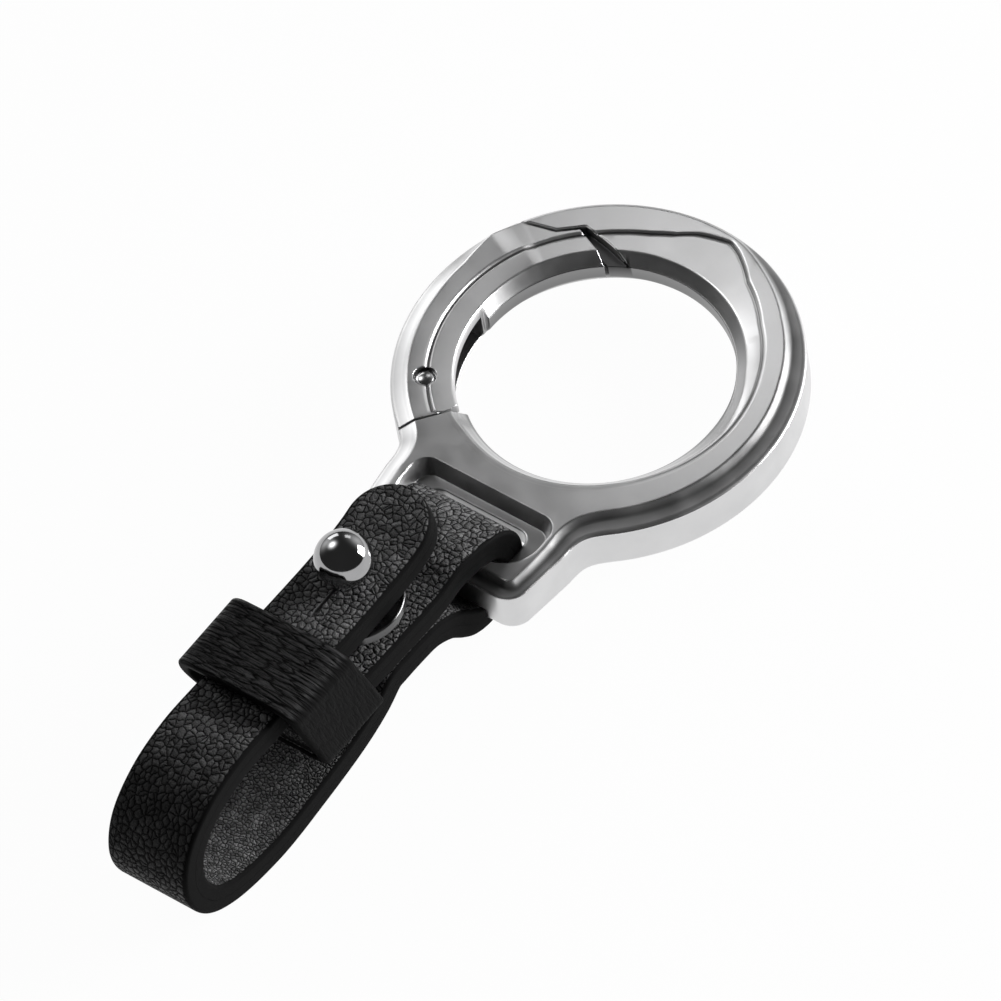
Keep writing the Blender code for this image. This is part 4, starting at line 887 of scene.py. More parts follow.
def gate_clearing(path):
    """The area cut out of the ring for the gate, wider than the gate by its gaps, up to a face's path."""
    along = polar(1.0, SPLIT_ANGLE)
    across = Vector((-along.y, along.x)) * GATE_GAP
    points = [along * (RING_RADIUS + OVERRUN * 2) + across, along * (OPENING_RADIUS - OVERRUN) + across]
    start = SPLIT_ANGLE - INNER_SETBACK
    points += arc((0, 0), OPENING_RADIUS - OVERRUN * 2, start, bearing(path[-1]), AREA_STEPS)
    points += path[::-1]
    points += arc((0, 0), RING_RADIUS + OVERRUN * 2, AREA_ANGLE, SPLIT_ANGLE - CHANNEL_SETBACK, AREA_STEPS)
    return points


def lip_step(body):
    """A fine step along the ring's side of the lip, just below its front face."""
    path = spread(lip_face()[:-1], LIP_POINTS)
    hits = [body.ray_cast(Vector((*point, CUT_HIGH)), Vector((0, 0, -1))) for point in path]
    first = next(place.z for hit, place, normal, index in hits if hit)
    heights = [place.z if hit else first for hit, place, normal, index in hits]
    loops = []
    for near, far, height in zip(shifted_path(path, -LIP_STEP), shifted_path(path, LIP_STEP), heights):
        low = height - LIP_STEP / 2
        high = height + LIP_STEP
        loops.append([(*near, low), (*far, low), (*far, high), (*near, high)])
    return loft("cutter", loops)


def sector(radius, start):
    """The spring recess in plan, out to a radius."""
    outer = arc((0, 0), radius, start, RECESS_PAST_ANGLE, AREA_STEPS)
    inner = arc((0, 0), OPENING_RADIUS - OVERRUN, RECESS_PAST_ANGLE, start, AREA_STEPS)
    return outer + inner


# Metal pieces

def slot_cutter():
    outline = rounded_box(SLOT_HALF_WIDTH, -SLOT_BOTTOM, -SLOT_TOP, SLOT_CORNER)
    flared = rounded_box(SLOT_HALF_WIDTH + BAR_BEVEL, -SLOT_BOTTOM - BAR_BEVEL, -SLOT_TOP + BAR_BEVEL,
                         SLOT_CORNER + BAR_BEVEL)
    rows = ((outline, CUT_HIGH), (outline, BACK_POCKET_FLOOR + BAR_BEVEL), (flared, BACK_POCKET_FLOOR),
            (flared, CUT_LOW))
    return loft("cutter", [raised(*row) for row in rows])


def pocket_cutter():
    lean = POCKET_SLOPE / (PLATE_CREST - POCKET_FLOOR)
    loops = []
    for height in (POCKET_FLOOR, PLATE_CREST + OVERRUN):
        inset = (PLATE_CREST - height) * lean
        outline = rounded_box(POCKET_HALF_WIDTH - inset, inset - POCKET_BOTTOM, -POCKET_TOP - inset,
                              POCKET_CORNER + max(-inset, 0), POCKET_FOOT_CORNER + max(-inset, 0))
        loops.append(raised(outline, height))
    return loft("cutter", loops)


def bar_edge_cutter():
    half = SLOT_HALF_WIDTH + BAR_BEVEL
    section = ((-PLATE_REACH - OVERRUN, BACK_POCKET_FLOOR - OVERRUN),
               (-PLATE_REACH + BAR_BEVEL + OVERRUN, BACK_POCKET_FLOOR - OVERRUN),
               (-PLATE_REACH - OVERRUN, BACK_POCKET_FLOOR + BAR_BEVEL + OVERRUN))
    return loft("cutter", [[(x, y, z) for y, z in section] for x in (-half, half)])


def pin_hole():
    return cylinder(PIN_RADIUS + PIN_FIT, CUT_LOW, CUT_HIGH, HINGE)


def make_ring(metal):
    body = ring_blank("ring_shell")
    back = rounded_box(POCKET_HALF_WIDTH, -BACK_POCKET_BOTTOM, -POCKET_TOP, POCKET_CORNER)
    notch = rounded_box(SLOT_HALF_WIDTH + BAR_BEVEL, -PLATE_REACH - OVERRUN, -SLOT_BOTTOM, BAR_BEVEL)
    along = polar(1.0, SPLIT_ANGLE)
    into = polar(1.0, SPLIT_ANGLE + 90)
    reach = (along * HINGE.dot(along) - HINGE).length + GATE_GAP + LUG_ROOT
    lug = arc(HINGE, KNUCKLE_RADIUS, bearing(into) + 90, bearing(into) + 270, FILLET_STEPS)
    lug += [lug[-1] + into * reach, lug[0] + into * reach]
    cut(body, [
        ("DIFFERENCE", prism(gate_clearing(shelf_face()))),
        ("DIFFERENCE", prism(gate_clearing(lip_face()), -LEDGE_DROP)),
        ("DIFFERENCE", lip_step(body)),
        ("DIFFERENCE", pocket_cutter()),
        ("DIFFERENCE", slot_cutter()),
        ("DIFFERENCE", prism(back, high=BACK_POCKET_FLOOR)),
        ("DIFFERENCE", prism(notch, high=BACK_POCKET_FLOOR)),
        ("DIFFERENCE", bar_edge_cutter()),
        ("UNION", prism(lug, LUG_BOTTOM, LUG_TOP)),
        ("UNION", cylinder(KNUCKLE_RADIUS, LUG_BOTTOM, CHANNEL_TOP - GAP, HINGE)),
        ("DIFFERENCE", pin_hole()),
    ])
    # Painted shadow deep in the joint under the gate's nose.
    for vertex, painted_shade_and_tone in zip(body.data.vertices, body.data.attributes["painted_shade_and_tone"].data):
        away = vertex.co.xy - HINGE
        beyond = HEEL_REACH < away.length < LIP_REACH + GAP
        beside = HEEL_ANGLES[0] < bearing(away) < HEEL_ANGLES[1]
        if beyond and beside and GAP - LEDGE_DROP > vertex.co.z > -2 * LEDGE_DROP:
            painted_shade_and_tone.value = JOINT_PAINTED_SHADOW
    return finished(body, metal)


def make_gate(metal):
    gate = ring_blank("gate_shell")
    channel = sector(CHANNEL_RADIUS, RECESS_ANGLE + CHANNEL_SETBACK)
    cut(gate, [
        ("INTERSECT", prism(gate_outline())),
        ("DIFFERENCE", prism(heel_outline(), high=GAP - LEDGE_DROP)),
        ("DIFFERENCE", prism(sector(CHEEK_RADIUS, RECESS_ANGLE))),
        ("DIFFERENCE", prism(channel, CHANNEL_BOTTOM, CHANNEL_TOP)),
        ("DIFFERENCE", pin_hole()),
        ("DIFFERENCE", cylinder(PIN_RECESS_RADIUS, PIN_RECESS_FLOOR, CUT_HIGH, HINGE)),
        ("DIFFERENCE", cylinder(PIN_RECESS_RADIUS, CUT_LOW, PIN_FOOT_RECESS - BODY_DEPTH, HINGE)),
    ])
    return finished(gate, metal)


def make_pin(metal):
    head = PIN_RECESS_FLOOR + PIN_FIT
    foot = PIN_FOOT_RECESS - PIN_FIT - BODY_DEPTH
    profile = cap(PIN_HEAD_RADIUS, PIN_HEAD_HEIGHT, head)
    profile += [(PIN_RADIUS, head), (PIN_RADIUS, foot), (PIN_HEAD_RADIUS, foot)]
    profile += cap(PIN_HEAD_RADIUS, -PIN_FOOT_HEIGHT, foot)[-2::-1]
    return finished(turned("pin_rivet", profile, HINGE), metal)


def make_spring(metal):
    start = LEG_DIRECTION - math.degrees(math.acos(COIL_RADIUS / LEG_REACH))
    long_tip = polar(CHANNEL_RADIUS - GAP - WIRE_RADIUS, LONG_LEG_ANGLE)
    outward = long_tip - HINGE
    end = bearing(outward) + math.degrees(math.acos(COIL_RADIUS / outward.length))
    turn = (start - end) % 360 + 360 * COIL_TURNS
    low = LUG_TOP + GAP + WIRE_RADIUS
    high = CHANNEL_TOP - GAP - WIRE_RADIUS
    steps = round(turn / 360 * CURL_STEPS)
    coil = arc(HINGE, COIL_RADIUS, start, start - turn, steps)
    points = [(*(HINGE + polar(LEG_REACH, LEG_DIRECTION)), low)]
    points += [(*place, mix(low, high, i / steps)) for i, place in enumerate(coil)]
    points.append((*long_tip, high))
    spring = poly_curve("spring_wire", "3D", points)
    spring.location = CENTRE
    curve = spring.data
    curve.bevel_depth = WIRE_RADIUS
    curve.bevel_resolution = WIRE_SIDES
    curve.use_fill_caps = True
    curve.splines[0].use_smooth = True
    curve.materials.append(metal)
    return spring


def make_stud(metal):
    neck = 180 - math.degrees(math.asin(NECK_RADIUS / BALL_RADIUS))
    profile = cap(BALL_RADIUS, BALL_RADIUS, BALL_Z, neck, BALL_STEPS)
    top = FLANGE_Z + FLANGE_THICKNESS
    edge = FLANGE_EDGE / 2
    bore = SHANK_END + SCREW_LENGTH + GAP
    profile += filleted([profile[-1], (NECK_RADIUS, top), (FLANGE_RADIUS - edge, top),
                         (FLANGE_RADIUS, top - edge), (FLANGE_RADIUS, FLANGE_Z + edge),
                         (FLANGE_RADIUS - edge, FLANGE_Z),
                         (COLLAR_RADIUS, FLANGE_Z), (COLLAR_RADIUS, COLLAR_Z), (SHANK_RADIUS, COLLAR_Z),
                         (SHANK_RADIUS, SHANK_END), (SCREW_RADIUS + PIN_FIT, SHANK_END),
                         (SCREW_RADIUS + PIN_FIT, bore)])[1:]
    return finished(turned("stud_ball", profile + [(0, bore)], (0, STUD_Y)), metal)


def make_screw(metal):
    top = SHANK_END - GAP
    low = top - SCREW_HEAD_HEIGHT
    edge = SCREW_HEAD_HEIGHT / 3
    tip = SHANK_END + SCREW_LENGTH
    profile = filleted([(0, tip), (SCREW_RADIUS, tip), (SCREW_RADIUS, top), (SCREW_HEAD_RADIUS, top),
                        (SCREW_HEAD_RADIUS, low + edge), (SCREW_HEAD_RADIUS - edge, low), (0, low)])
    screw = turned("screw_head", profile, (0, STUD_Y))
    half = SCREW_SLOT_WIDTH / 2
    long = SCREW_HEAD_RADIUS + OVERRUN
    slot = [(-long, STUD_Y - half), (long, STUD_Y - half), (long, STUD_Y + half), (-long, STUD_Y + half)]
    cut(screw, [("DIFFERENCE", prism(slot, low - OVERRUN, low + SCREW_SLOT_DEPTH))])
    return finished(screw, metal)


# Leather pieces

def span(start, end, shares):
    """Points at shares of the way from one place to another, across and up."""
    return [Vector((mix(start[0], end[0], y), mix(start[1], end[1], z))) for y, z in shares]


def strap_route():
    back = (STUD_Y, BACK_Z)
    low = (BAR.x - LOOP_REACH + HALF_STRAP, BACK_Z - LOOP_LOW_DROP)
    points = [Vector((BAR.x - SHORT_END_REACH, MIDDLE_Z))]
    points += span((STUD_Y, MIDDLE_Z), (BAR.x, MIDDLE_Z + HUMP_RISE), MIDDLE_SHARES)
    points += [BAR + polar(WRAP_RADIUS, angle) for angle in WRAP_ANGLES]
    points += span((BAR.x, BACK_Z), (STUD_Y, BAR.y - WRAP_RADIUS), BACK_SHARES)
    points += span(back, low, LOW_SHARES)
    points += span((STUD_Y, low[1]), (low[0], TONGUE_Z), BEND_SHARES + FRONT_SHARES)
    points += span((STUD_Y, TONGUE_Z), (BAR.x - TIP_REACH, TONGUE_Z + TIP_LIFT), TONGUE_SHARES)
    return points


def strap_stations():
    """Places along the strap: mid-line point, normal to the grain side, half width, run from its start."""
    line = smooth_curve(strap_route(), STRAP_STEP)
    lengths = run_lengths(line)
    tip = TONGUE_HALF_WIDTH
    tip_start = lengths[-1] - tip
    end_angle = math.acos(TIP_END_SHARE)
    places = [s for s in lengths if s < tip_start]
    places += [tip_start + tip * math.sin(end_angle * i / TIP_STEPS) for i in range(TIP_STEPS + 1)]
    wrap_place = SHORT_END_REACH + WRAP_RADIUS
    stops = (0, wrap_place, wrap_place + LOOP_REACH, lengths[-1] - (STUD_REACH - TIP_REACH))
    halves = (SHORT_END_HALF_WIDTH, WRAP_HALF_WIDTH, LOOP_HALF_WIDTH, TONGUE_HALF_WIDTH)
    stations = []
    for s in places:
        run = place_at(s + 2 * STRAP_STEP, lengths, line) - place_at(s - 2 * STRAP_STEP, lengths, line)
        run.normalize()
        half = float(np.interp(s, stops, halves))
        if s > tip_start:
            half = math.sqrt(max(tip ** 2 - (s - tip_start) ** 2, 0))
        stations.append((place_at(s, lengths, line), Vector((-run.y, run.x)), half, s))
    return stations


def leather_mesh(name, rows, across, runs, edges, closed):
    """A leather solid through loops. UV holds the distance across and along, in metres."""
    obj = loft(name, rows, closed=closed, values={"edge": edges})
    uv = obj.data.uv_layers.new(name="flat")
    places = [place for row in zip(across, runs) for place in zip(*row)]
    for loop in obj.data.loops:
        uv.data[loop.index].uv = places[loop.vertex_index]
    return obj


def make_ply(name, grain, back, leather, offset):
    """One ply between the heights of its grain side and its back; the edges of the grain side are rounded."""
    down = math.copysign(1, back - grain)
    rows, across, runs, edges = [], [], [], []
    for point, normal, half, s in strap_stations():
        edge = min(EDGE_ROUND, half / 3)
        flat = half - edge
        rounding = [(flat + edge * out, grain + down * edge * fall) for out, fall in EDGE_ARC]
        section = [(mix(-flat, flat, i / STRAP_COLUMNS), grain) for i in range(STRAP_COLUMNS + 1)]
        section += rounding
        section += [(mix(half, -half, i / BACK_COLUMNS), back) for i in range(BACK_COLUMNS + 1)]
        section += [(-x, height) for x, height in rounding[::-1]]
        places = [(x, point + normal * height) for x, height in section]
        rows.append([(x, place.x, place.y) for x, place in places])
        edges.append([ease((abs(x) - flat) / edge * 2) if height == grain or abs(x) > flat else 0.0
                      for x, height in section])
        across.append([x + offset for x, height in section])
        runs.append([s + abs(height - grain) for x, height in section])
    ply = leather_mesh(name, rows, across, runs, edges, False)
    slit_end = STUD_Y - STUD_HOLE - SLIT_LENGTH
    widest = mix(STUD_Y, slit_end, SLIT_WIDEST_SHARE)
    slit = [(-SLIT_WIDTH / 4, STUD_Y), (-SLIT_WIDTH / 2, widest), (0, slit_end),
            (SLIT_WIDTH / 2, widest), (SLIT_WIDTH / 4, STUD_Y)]
    cut(ply, [
        ("DIFFERENCE", cylinder(STUD_HOLE, FLANGE_Z, TONGUE_TOP + OVERRUN, (0, STUD_Y))),
        ("DIFFERENCE", cylinder(SHANK_HOLE, SHANK_END - OVERRUN, FLANGE_Z, (0, STUD_Y))),
        ("DIFFERENCE", prism(slit, FLANGE_Z, TONGUE_TOP + OVERRUN)),
    ])
    return finished(ply, leather)


def keeper_section():
    half = SHORT_END_HALF_WIDTH + KEEPER_SIDE_PLAY
    low = MIDDLE_Z - HALF_STRAP - GAP
    high = TONGUE_TOP + KEEPER_TOP_PLAY
    outline = rounded_box(half, low, high, KEEPER_CORNER, steps=KEEPER_CORNER_STEPS)
    count = KEEPER_CORNER_STEPS + 1
    points = []
    for k in range(0, len(outline), count):
        points += outline[k:k + count]
        points += spread([points[-1], outline[(k + count) % len(outline)]], KEEPER_SIDE_STEPS)[1:-1]
    bend_z = mix(high, low, KEEPER_BULGE_SHARE)
    shaped = []
    for p in points:
        height = (p.y - bend_z) / (high - low)
        bulge = KEEPER_BULGE * math.exp(-(height / BULGE_HEIGHT_SHARE) ** 2)
        bulge *= ease(BULGE_WIDTH_SHARE - p.x / half)
        top = 1 - (high - p.y) / (high - low) / CROWN_HEIGHT_SHARE
        crown = KEEPER_CROWN * (1 - (p.x / half) ** 2) * ease(top)
        shaped.append(Vector((p.x - bulge, p.y + crown)))
    return shaped


def make_keeper(leather):
    inner = keeper_section()
    count = len(inner)
    outward = []
    for i in range(count):
        run = (inner[(i + 1) % count] - inner[i - 2]).normalized()
        outward.append(Vector((run.y, -run.x)))
    near = BAR.x - KEEPER_REACH
    edge = KEEPER_WALL / 3
    end = edge / KEEPER_LENGTH
    rounding = [(KEEPER_WALL - edge * fall, end * (1 - out)) for out, fall in EDGE_ARC]
    path = [(KEEPER_WALL, mix(end, 1 - end, i / KEEPER_LENGTH_STEPS)) for i in range(KEEPER_LENGTH_STEPS + 1)]
    path += [(depth, 1 - share) for depth, share in rounding]
    path.append((edge / 2, 1))
    path += [(0, mix(1 - end / 2, end / 2, i / KEEPER_INNER_STEPS)) for i in range(KEEPER_INNER_STEPS + 1)]
    path.append((edge / 2, 0))
    path += rounding[::-1]
    rows, runs, edges = [], [], []
    for depth, share in path:
        places = [point + normal * depth for point, normal in zip(inner, outward)]
        rows.append([(p.x, near - KEEPER_LENGTH * share - p.y * KEEPER_LEAN_SHARE, p.y) for p in places])
        runs.append([KEEPER_LENGTH * share + (KEEPER_WALL - depth)] * count)
        cut_edge = ease((KEEPER_WALL - depth) / edge * 2)
        edges.append([max(cut_edge, SMOOTH_WALL * ease((abs(normal.x) - SMOOTH_FROM) / (1 - SMOOTH_FROM)))
                      for normal in outward])
    across = [run_lengths(inner)] * len(path)
    return finished(leather_mesh("keeper_band", rows, across, runs, edges, True), leather)


# Materials

class Nodes:
    """The node tree of a material or world, written as a chain of calls."""

    def __init__(self, owner):
        owner.use_nodes = True
        self.owner = owner
        self.tree = owner.node_tree

    def fill(self, node, inputs):
        """Sets inputs to numbers and colours, or links them to outputs of other nodes."""
        for key, value in inputs.items():
            if isinstance(value, bpy.types.NodeSocket):
                self.tree.links.new(value, node.inputs[key])
            else:
                node.inputs[key].default_value = value

    def add(self, kind, inputs, **settings):
        node = self.tree.nodes.new("ShaderNode" + kind)
        for key, value in settings.items():
            setattr(node, key, value)
        self.fill(node, inputs)
        return node

    def shader(self, inputs):
        """Fills the material's shader, and gives the material."""
        self.fill(self.tree.nodes["Principled BSDF"], inputs)
        return self.owner

    def place(self, kind="Object"):
        return self.add("TexCoord", {}).outputs[kind]

    def attribute(self, name):
        return self.add("Attribute", {}, attribute_name=name).outputs["Fac"]

    def part(self, vector, axis):
        return self.add("SeparateXYZ", {0: vector}).outputs[axis]

    def math(self, operation, *values, clamp=False):
        return self.add("Math", dict(enumerate(values)), operation=operation, use_clamp=clamp).outputs[0]

    def times(self, a, b):
        return self.math("MULTIPLY", a, b)

    def plus(self, a, b, clamp=False):
        return self.math("ADD", a, b, clamp=clamp)

    def minus(self, a, b, clamp=False):
        return self.math("SUBTRACT", a, b, clamp=clamp)

    def ramp(self, value, low, high, out_low=0.0, out_high=1.0):
        inputs = dict(enumerate((value, low, high, out_low, out_high)))
        return self.add("MapRange", inputs, interpolation_type="SMOOTHSTEP").outputs[0]

    def noise(self, vector, scale, detail=2.0, roughness=0.5, output=0):
        inputs = {"Vector": vector, "Scale": scale, "Detail": detail, "Roughness": roughness}
        return self.add("TexNoise", inputs).outputs[output]

    def voronoi(self, vector, scale):
        """Distance to the nearest edge between cells."""
        return self.add("TexVoronoi", {"Vector": vector, "Scale": scale}, feature="DISTANCE_TO_EDGE",
                        voronoi_dimensions="2D").outputs["Distance"]

    def cells(self, vector, scale):
        """A random share for each cell."""
        cell = self.add("TexVoronoi", {"Vector": vector, "Scale": scale}, voronoi_dimensions="2D")
        return self.add("SeparateColor", {0: cell.outputs["Color"]}).outputs[0]

    def dome(self, distance, width):
        """A rounded rise from an edge, full at a width from it."""
        away = self.minus(1.0, self.math("DIVIDE", distance, width, clamp=True))
        return self.minus(1.0, self.math("POWER", away, DOME_POWER))

    def scaled(self, vector, x, y, z):
        return self.add("Mapping", {"Vector": vector, "Scale": (x, y, z)}).outputs[0]

    def colour(self, value, dark, light):
        return self.add("Mix", {0: value, 6: (*dark, 1), 7: (*light, 1)}, data_type="RGBA").outputs[2]

    def shaded(self, colour, share):
        """A colour multiplied by a share."""
        inputs = {0: 1.0, 6: colour, 7: self.colour(share, (0, 0, 0), (1, 1, 1))}
        return self.add("Mix", inputs, data_type="RGBA", blend_type="MULTIPLY").outputs[2]

    def bump(self, height, distance, strength=1.0, **more):
        inputs = {"Strength": strength, "Distance": distance, "Height": height, **more}
        return self.add("Bump", inputs).outputs[0]


def satin_metal(name, dark, light, roughness):
    """Plated metal, finely blasted; its edges are rounded, smoother, and painted brighter, partly as wear and
    partly as painted highlight.
    """
    n = Nodes(bpy.data.materials.new(name))
    place = n.place()
    plate = n.ramp(n.part(place, "Y"), *POCKET_ZONE)
    reach = n.ramp(plate, 0.0, 1.0, EDGE_RADIUS, POCKET_ROUND)
    rounding = n.add("Bevel", {"Radius": reach}, samples=BEVEL_SAMPLES).outputs[0]
    face = n.add("NewGeometry", {}).outputs["Normal"]
    turn = n.add("VectorMath", {0: rounding, 1: face}, operation="DOT_PRODUCT").outputs["Value"]
    bent = n.ramp(turn, *BENT_RANGE)
    # Rounded and worn edges are painted lighter: partly wear, partly painted highlight.
    worn_and_highlit = n.math("MAXIMUM", n.times(n.attribute("wear_and_highlight"), WEAR_AND_HIGHLIGHT_WEIGHT), n.times(bent, BENT_WEIGHT))
    patches = n.noise(place, METAL_PATCHES, 3)
    lightness = n.plus(n.times(patches, 0.5), n.times(worn_and_highlit, 0.6), clamp=True)
    dullness = n.minus(patches, n.times(worn_and_highlit, 0.5))
    # The base colour is darkened by the painted shade carried on the mesh.
    return n.shader({
        "Base Color": n.shaded(n.colour(lightness, dark, light), n.attribute("painted_shade_and_tone")),
        "Roughness": n.ramp(dullness, 0.0, 0.9, roughness * 0.8, roughness * 1.2),
        "Metallic": 1.0,
        "Normal": n.bump(n.noise(place, BLAST_SCALE), BLAST_DEPTH, 0.5, Normal=rounding),
    })


def chrome_metal(name, dark, light, roughness, low=-1.0, high=0.0):
    """Polished metal with faint smudges; from one height down to another it is rougher and painted darker, as
    painted shade.
    """
    n = Nodes(bpy.data.materials.new(name))
    place = n.place()
    patches = n.noise(place, CHROME_PATCHES, 3)
    scuffs = n.noise(n.scaled(place, *SCUFF_SCALES), 1.0, 4, 0.6)
    polish_and_painted_shade = n.ramp(n.part(place, "Z"), low, high, PAINTED_SHADE_SHARE, 1.0)
    smudged = n.ramp(patches, 0.3, 0.8, roughness * 0.6, roughness * 1.5)
    return n.shader({
        "Base Color": n.shaded(n.colour(patches, dark, light), polish_and_painted_shade),
        "Roughness": n.math("DIVIDE", smudged, polish_and_painted_shade),
        "Metallic": 1.0,
        "Normal": n.bump(scuffs, SCUFF_DEPTH, 0.5),
    })


def pebbled_leather(name, cell, light, roughness, stretch=(1.0, 1.0), wrinkle=0.0, creased=None,
                    painted_shade_span=None):
    """Black grained leather: pebbles with painted sheen on top, painted shade in the crevices, pores and
    smooth painted edges.

    Fine folds run across it, everywhere or only round a place along it, given with its reach. Given a span,
    it is painted darker towards the loop's end as painted shade, from one place to another.
    """
    n = Nodes(bpy.data.materials.new(name))
    flat = n.add("UVMap", {}, uv_map="flat").outputs["UV"]
    grain = n.minus(1.0, n.attribute("edge"), clamp=True)
    scaled = n.scaled(flat, stretch[0] / cell, stretch[1] / cell, 1.0)
    warp = n.noise(scaled, WARP_SCALE, 3, output="Color")
    moved = n.add("VectorMath", {0: warp, 1: (1.0, 1.0, 0.0), 2: scaled}, operation="MULTIPLY_ADD").outputs[0]
    pebbles = n.dome(n.voronoi(moved, 1.0), PEBBLE_WIDTH)
    small = n.dome(n.voronoi(moved, SMALL_PEBBLES), SMALL_WIDTH)
    relief = n.times(n.plus(n.times(pebbles, 0.8), n.times(small, 0.2)), grain)
    folds = wrinkle
    if creased:
        away = n.math("ABSOLUTE", n.minus(n.part(flat, "Y"), creased[0]))
        folds = n.ramp(away, creased[1], creased[1] / 2, 0.0, wrinkle)
    lines = n.ramp(n.noise(n.scaled(flat, *FOLD_SCALES), 1.0, 3, 0.6), 0.35, 0.65)
    height = n.plus(relief, n.times(n.noise(scaled, PORE_SCALE, 3), PORE_HEIGHT))
    height = n.plus(height, n.times(n.times(lines, folds), grain))
    # Painted shade in the crevices and painted sheen on the pebble tops, times random tone by patch and cell.
    painted_shade_and_tone = n.times(n.ramp(relief, *CREVICE_RANGE), n.ramp(n.noise(scaled, 0.3, 3), 0.3, 0.75, 0.55, 1.0))
    painted_shade_and_tone = n.times(painted_shade_and_tone, n.ramp(n.cells(moved, 1.0), 0.0, 1.0, 0.55, 1.0))
    # Painted shade: darker towards the loop's end.
    if painted_shade_span:
        painted_shade_and_tone = n.times(painted_shade_and_tone, n.ramp(n.part(n.place(), "Y"), *painted_shade_span, PAINTED_SHADE_SHARE, 1.0))
    return n.shader({
        "Base Color": n.colour(painted_shade_and_tone, LEATHER_DARK, light),
        "Roughness": n.ramp(relief, 0.2, 0.9, PAINT_ROUGHNESS, roughness),
        "Specular IOR Level": LEATHER_SPECULAR,
        "Normal": n.bump(height, GRAIN_DEPTH),
    })


# Stage, light and camera

def make_camera():
    right = (CAMERA_RIGHT - CAMERA_BACK * CAMERA_RIGHT.dot(CAMERA_BACK)).normalized()
    up = CAMERA_BACK.cross(right)
    pixel = RING_RADIUS / PIXELS_PER_RADIUS
    middle = IMAGE_WIDTH / 2
    target = CENTRE + right * (middle - RING_CENTRE_PIXEL[0]) * pixel
    target += up * (RING_CENTRE_PIXEL[1] - middle) * pixel
    data = bpy.data.cameras.new("camera")
    data.sensor_width = SENSOR_WIDTH
    data.lens = SENSOR_WIDTH * CAMERA_DISTANCE / (IMAGE_WIDTH * pixel)
    data.clip_start, data.clip_end = CLIP_RANGE
    camera = new_object("camera", data)
    turn = Matrix((right, up, CAMERA_BACK)).transposed().to_4x4()
    turn.translation = target + CAMERA_BACK * CAMERA_DISTANCE
    camera.matrix_world = turn
    bpy.context.scene.camera = camera
    return target


def area_light(name, direction, distance, size, power, target):
    data = bpy.data.lights.new(name, "AREA")
    data.shape = "RECTANGLE"
    data.size, data.size_y = size
    data.energy = power
    light = new_object(name, data)
    way = Vector(direction).normalized()
    light.location = target + way * distance
    light.rotation_euler = way.to_track_quat("Z", "Y").to_euler()
    light.visible_camera = False


def make_stage():
    """A wide floor that looks white from the camera and in reflections, and keeps the object's shadow."""
    n = Nodes(bpy.data.materials.new("white_floor"))
    floor_light = n.add("Emission", {"Color": (1, 1, 1, 1)})
    n.shader({"Base Color": FLOOR_COLOUR, "Roughness": 0.9})
    rays = n.add("LightPath", {}).outputs
    seen = n.plus(rays["Is Camera Ray"], rays["Is Glossy Ray"], clamp=True)
    seen = n.plus(seen, rays["Is Transmission Ray"], clamp=True)
    diffuse = n.tree.nodes["Principled BSDF"].outputs[0]
    blend = n.add("MixShader", {0: n.times(seen, FLOOR_GLOW), 1: diffuse, 2: floor_light.outputs[0]})
    n.fill(n.tree.nodes["Material Output"], {"Surface": blend.outputs[0]})
    half = FLOOR_SIZE / 2
    corners = ((-half, -half, 0), (half, -half, 0), (half, half, 0), (-half, half, 0))
    mesh = bpy.data.meshes.new("floor")
    mesh.from_pydata(corners, [], [(0, 1, 2, 3)])
    mesh.materials.append(n.owner)
    floor = new_object("floor", mesh)
    floor.location = (0, 0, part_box("strap_face")[0].z)


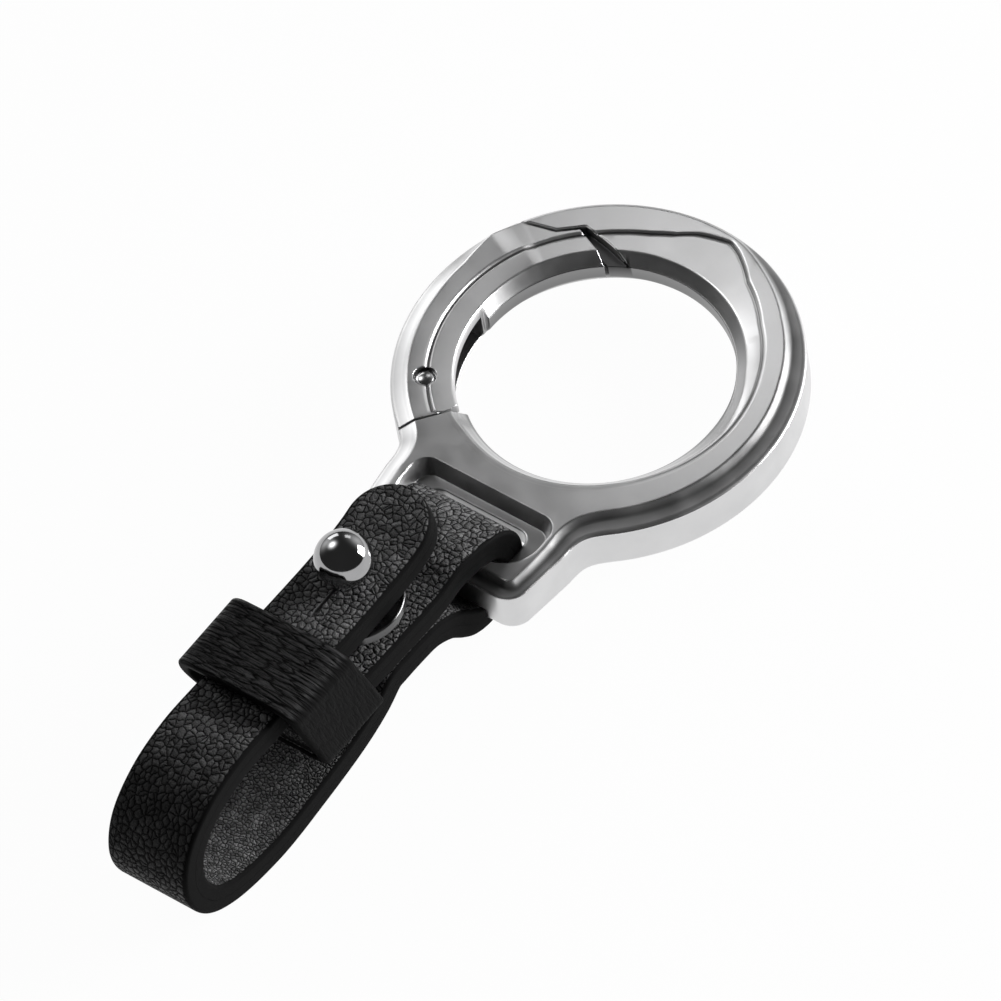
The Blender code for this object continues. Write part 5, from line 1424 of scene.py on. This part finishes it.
def make_world():
    """A soft studio: light behind and to the left of the object, dark behind the camera and to the right."""
    n = Nodes(bpy.data.worlds.new("studio"))
    bpy.context.scene.world = n.owner
    place = n.place("Generated")
    total = SKY_BASE
    for direction, sharpness, strength in SKY:
        way = Vector(direction).normalized()
        facing = n.add("VectorMath", {0: place, 1: way}, operation="DOT_PRODUCT").outputs["Value"]
        lobe = n.math("POWER", n.math("MAXIMUM", facing, 0.0), sharpness)
        total = n.math("MULTIPLY_ADD", lobe, strength, total)
    n.fill(n.tree.nodes["Background"], {"Strength": total, "Color": (1, 1, 1, 1)})


# Assembly

bpy.context.scene.view_settings.view_transform = "Standard"
target = make_camera()
make_world()
make_stage()
for name, (direction, distance, size, power, aim) in LAMPS.items():
    area_light(name, direction, distance, size, power, CENTRE + Vector(aim) if aim else target)

loop_end = BAR.x - LOOP_REACH
pewter = satin_metal("satin_pewter", *PEWTER)
steel = chrome_metal("spring_steel", *STEEL)
# The stud is painted darker and made rougher below the ball: painted shade under the tongue.
chrome = chrome_metal("black_chrome", *CHROME, FLANGE_Z, BALL_Z - BALL_RADIUS / 2)
strap_leather = pebbled_leather("strap_leather", *STRAP_LEATHER, wrinkle=STRAP_WRINKLE,
                                creased=(SHORT_END_REACH - CREASE_SETBACK, CREASE_REACH),
                                painted_shade_span=(loop_end, loop_end + PAINTED_SHADE_REACH))
lining_leather = pebbled_leather("lining_leather", *LINING_LEATHER)
keeper_leather = pebbled_leather("keeper_leather", *KEEPER_LEATHER, KEEPER_STRETCH, KEEPER_WRINKLE)

pieces = (
    (make_ring(pewter), "ring", "ring_body", "satin_pewter"),
    (make_gate(pewter), "gate", "gate", "satin_pewter"),
    (make_pin(steel), "ring", "gate_pin", "spring_steel"),
    (make_spring(steel), "gate", "gate_spring", "spring_steel"),
    (make_ply("strap_outer", HALF_STRAP, SEAM / 2, strap_leather, 0.0), "strap", "strap_face",
     "black_leather"),
    (make_ply("strap_inner", -HALF_STRAP, -SEAM / 2, lining_leather, LINING_OFFSET), "strap",
     "strap_lining", "black_leather"),
    (make_keeper(keeper_leather), "keeper", "keeper", "black_leather"),
    (make_stud(chrome), "strap", "ball_stud", "black_chrome"),
    (make_screw(chrome), "strap", "stud_screw", "black_chrome"),
)
for piece, body, node, slot in pieces:
    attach(piece, body)
    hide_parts(node)
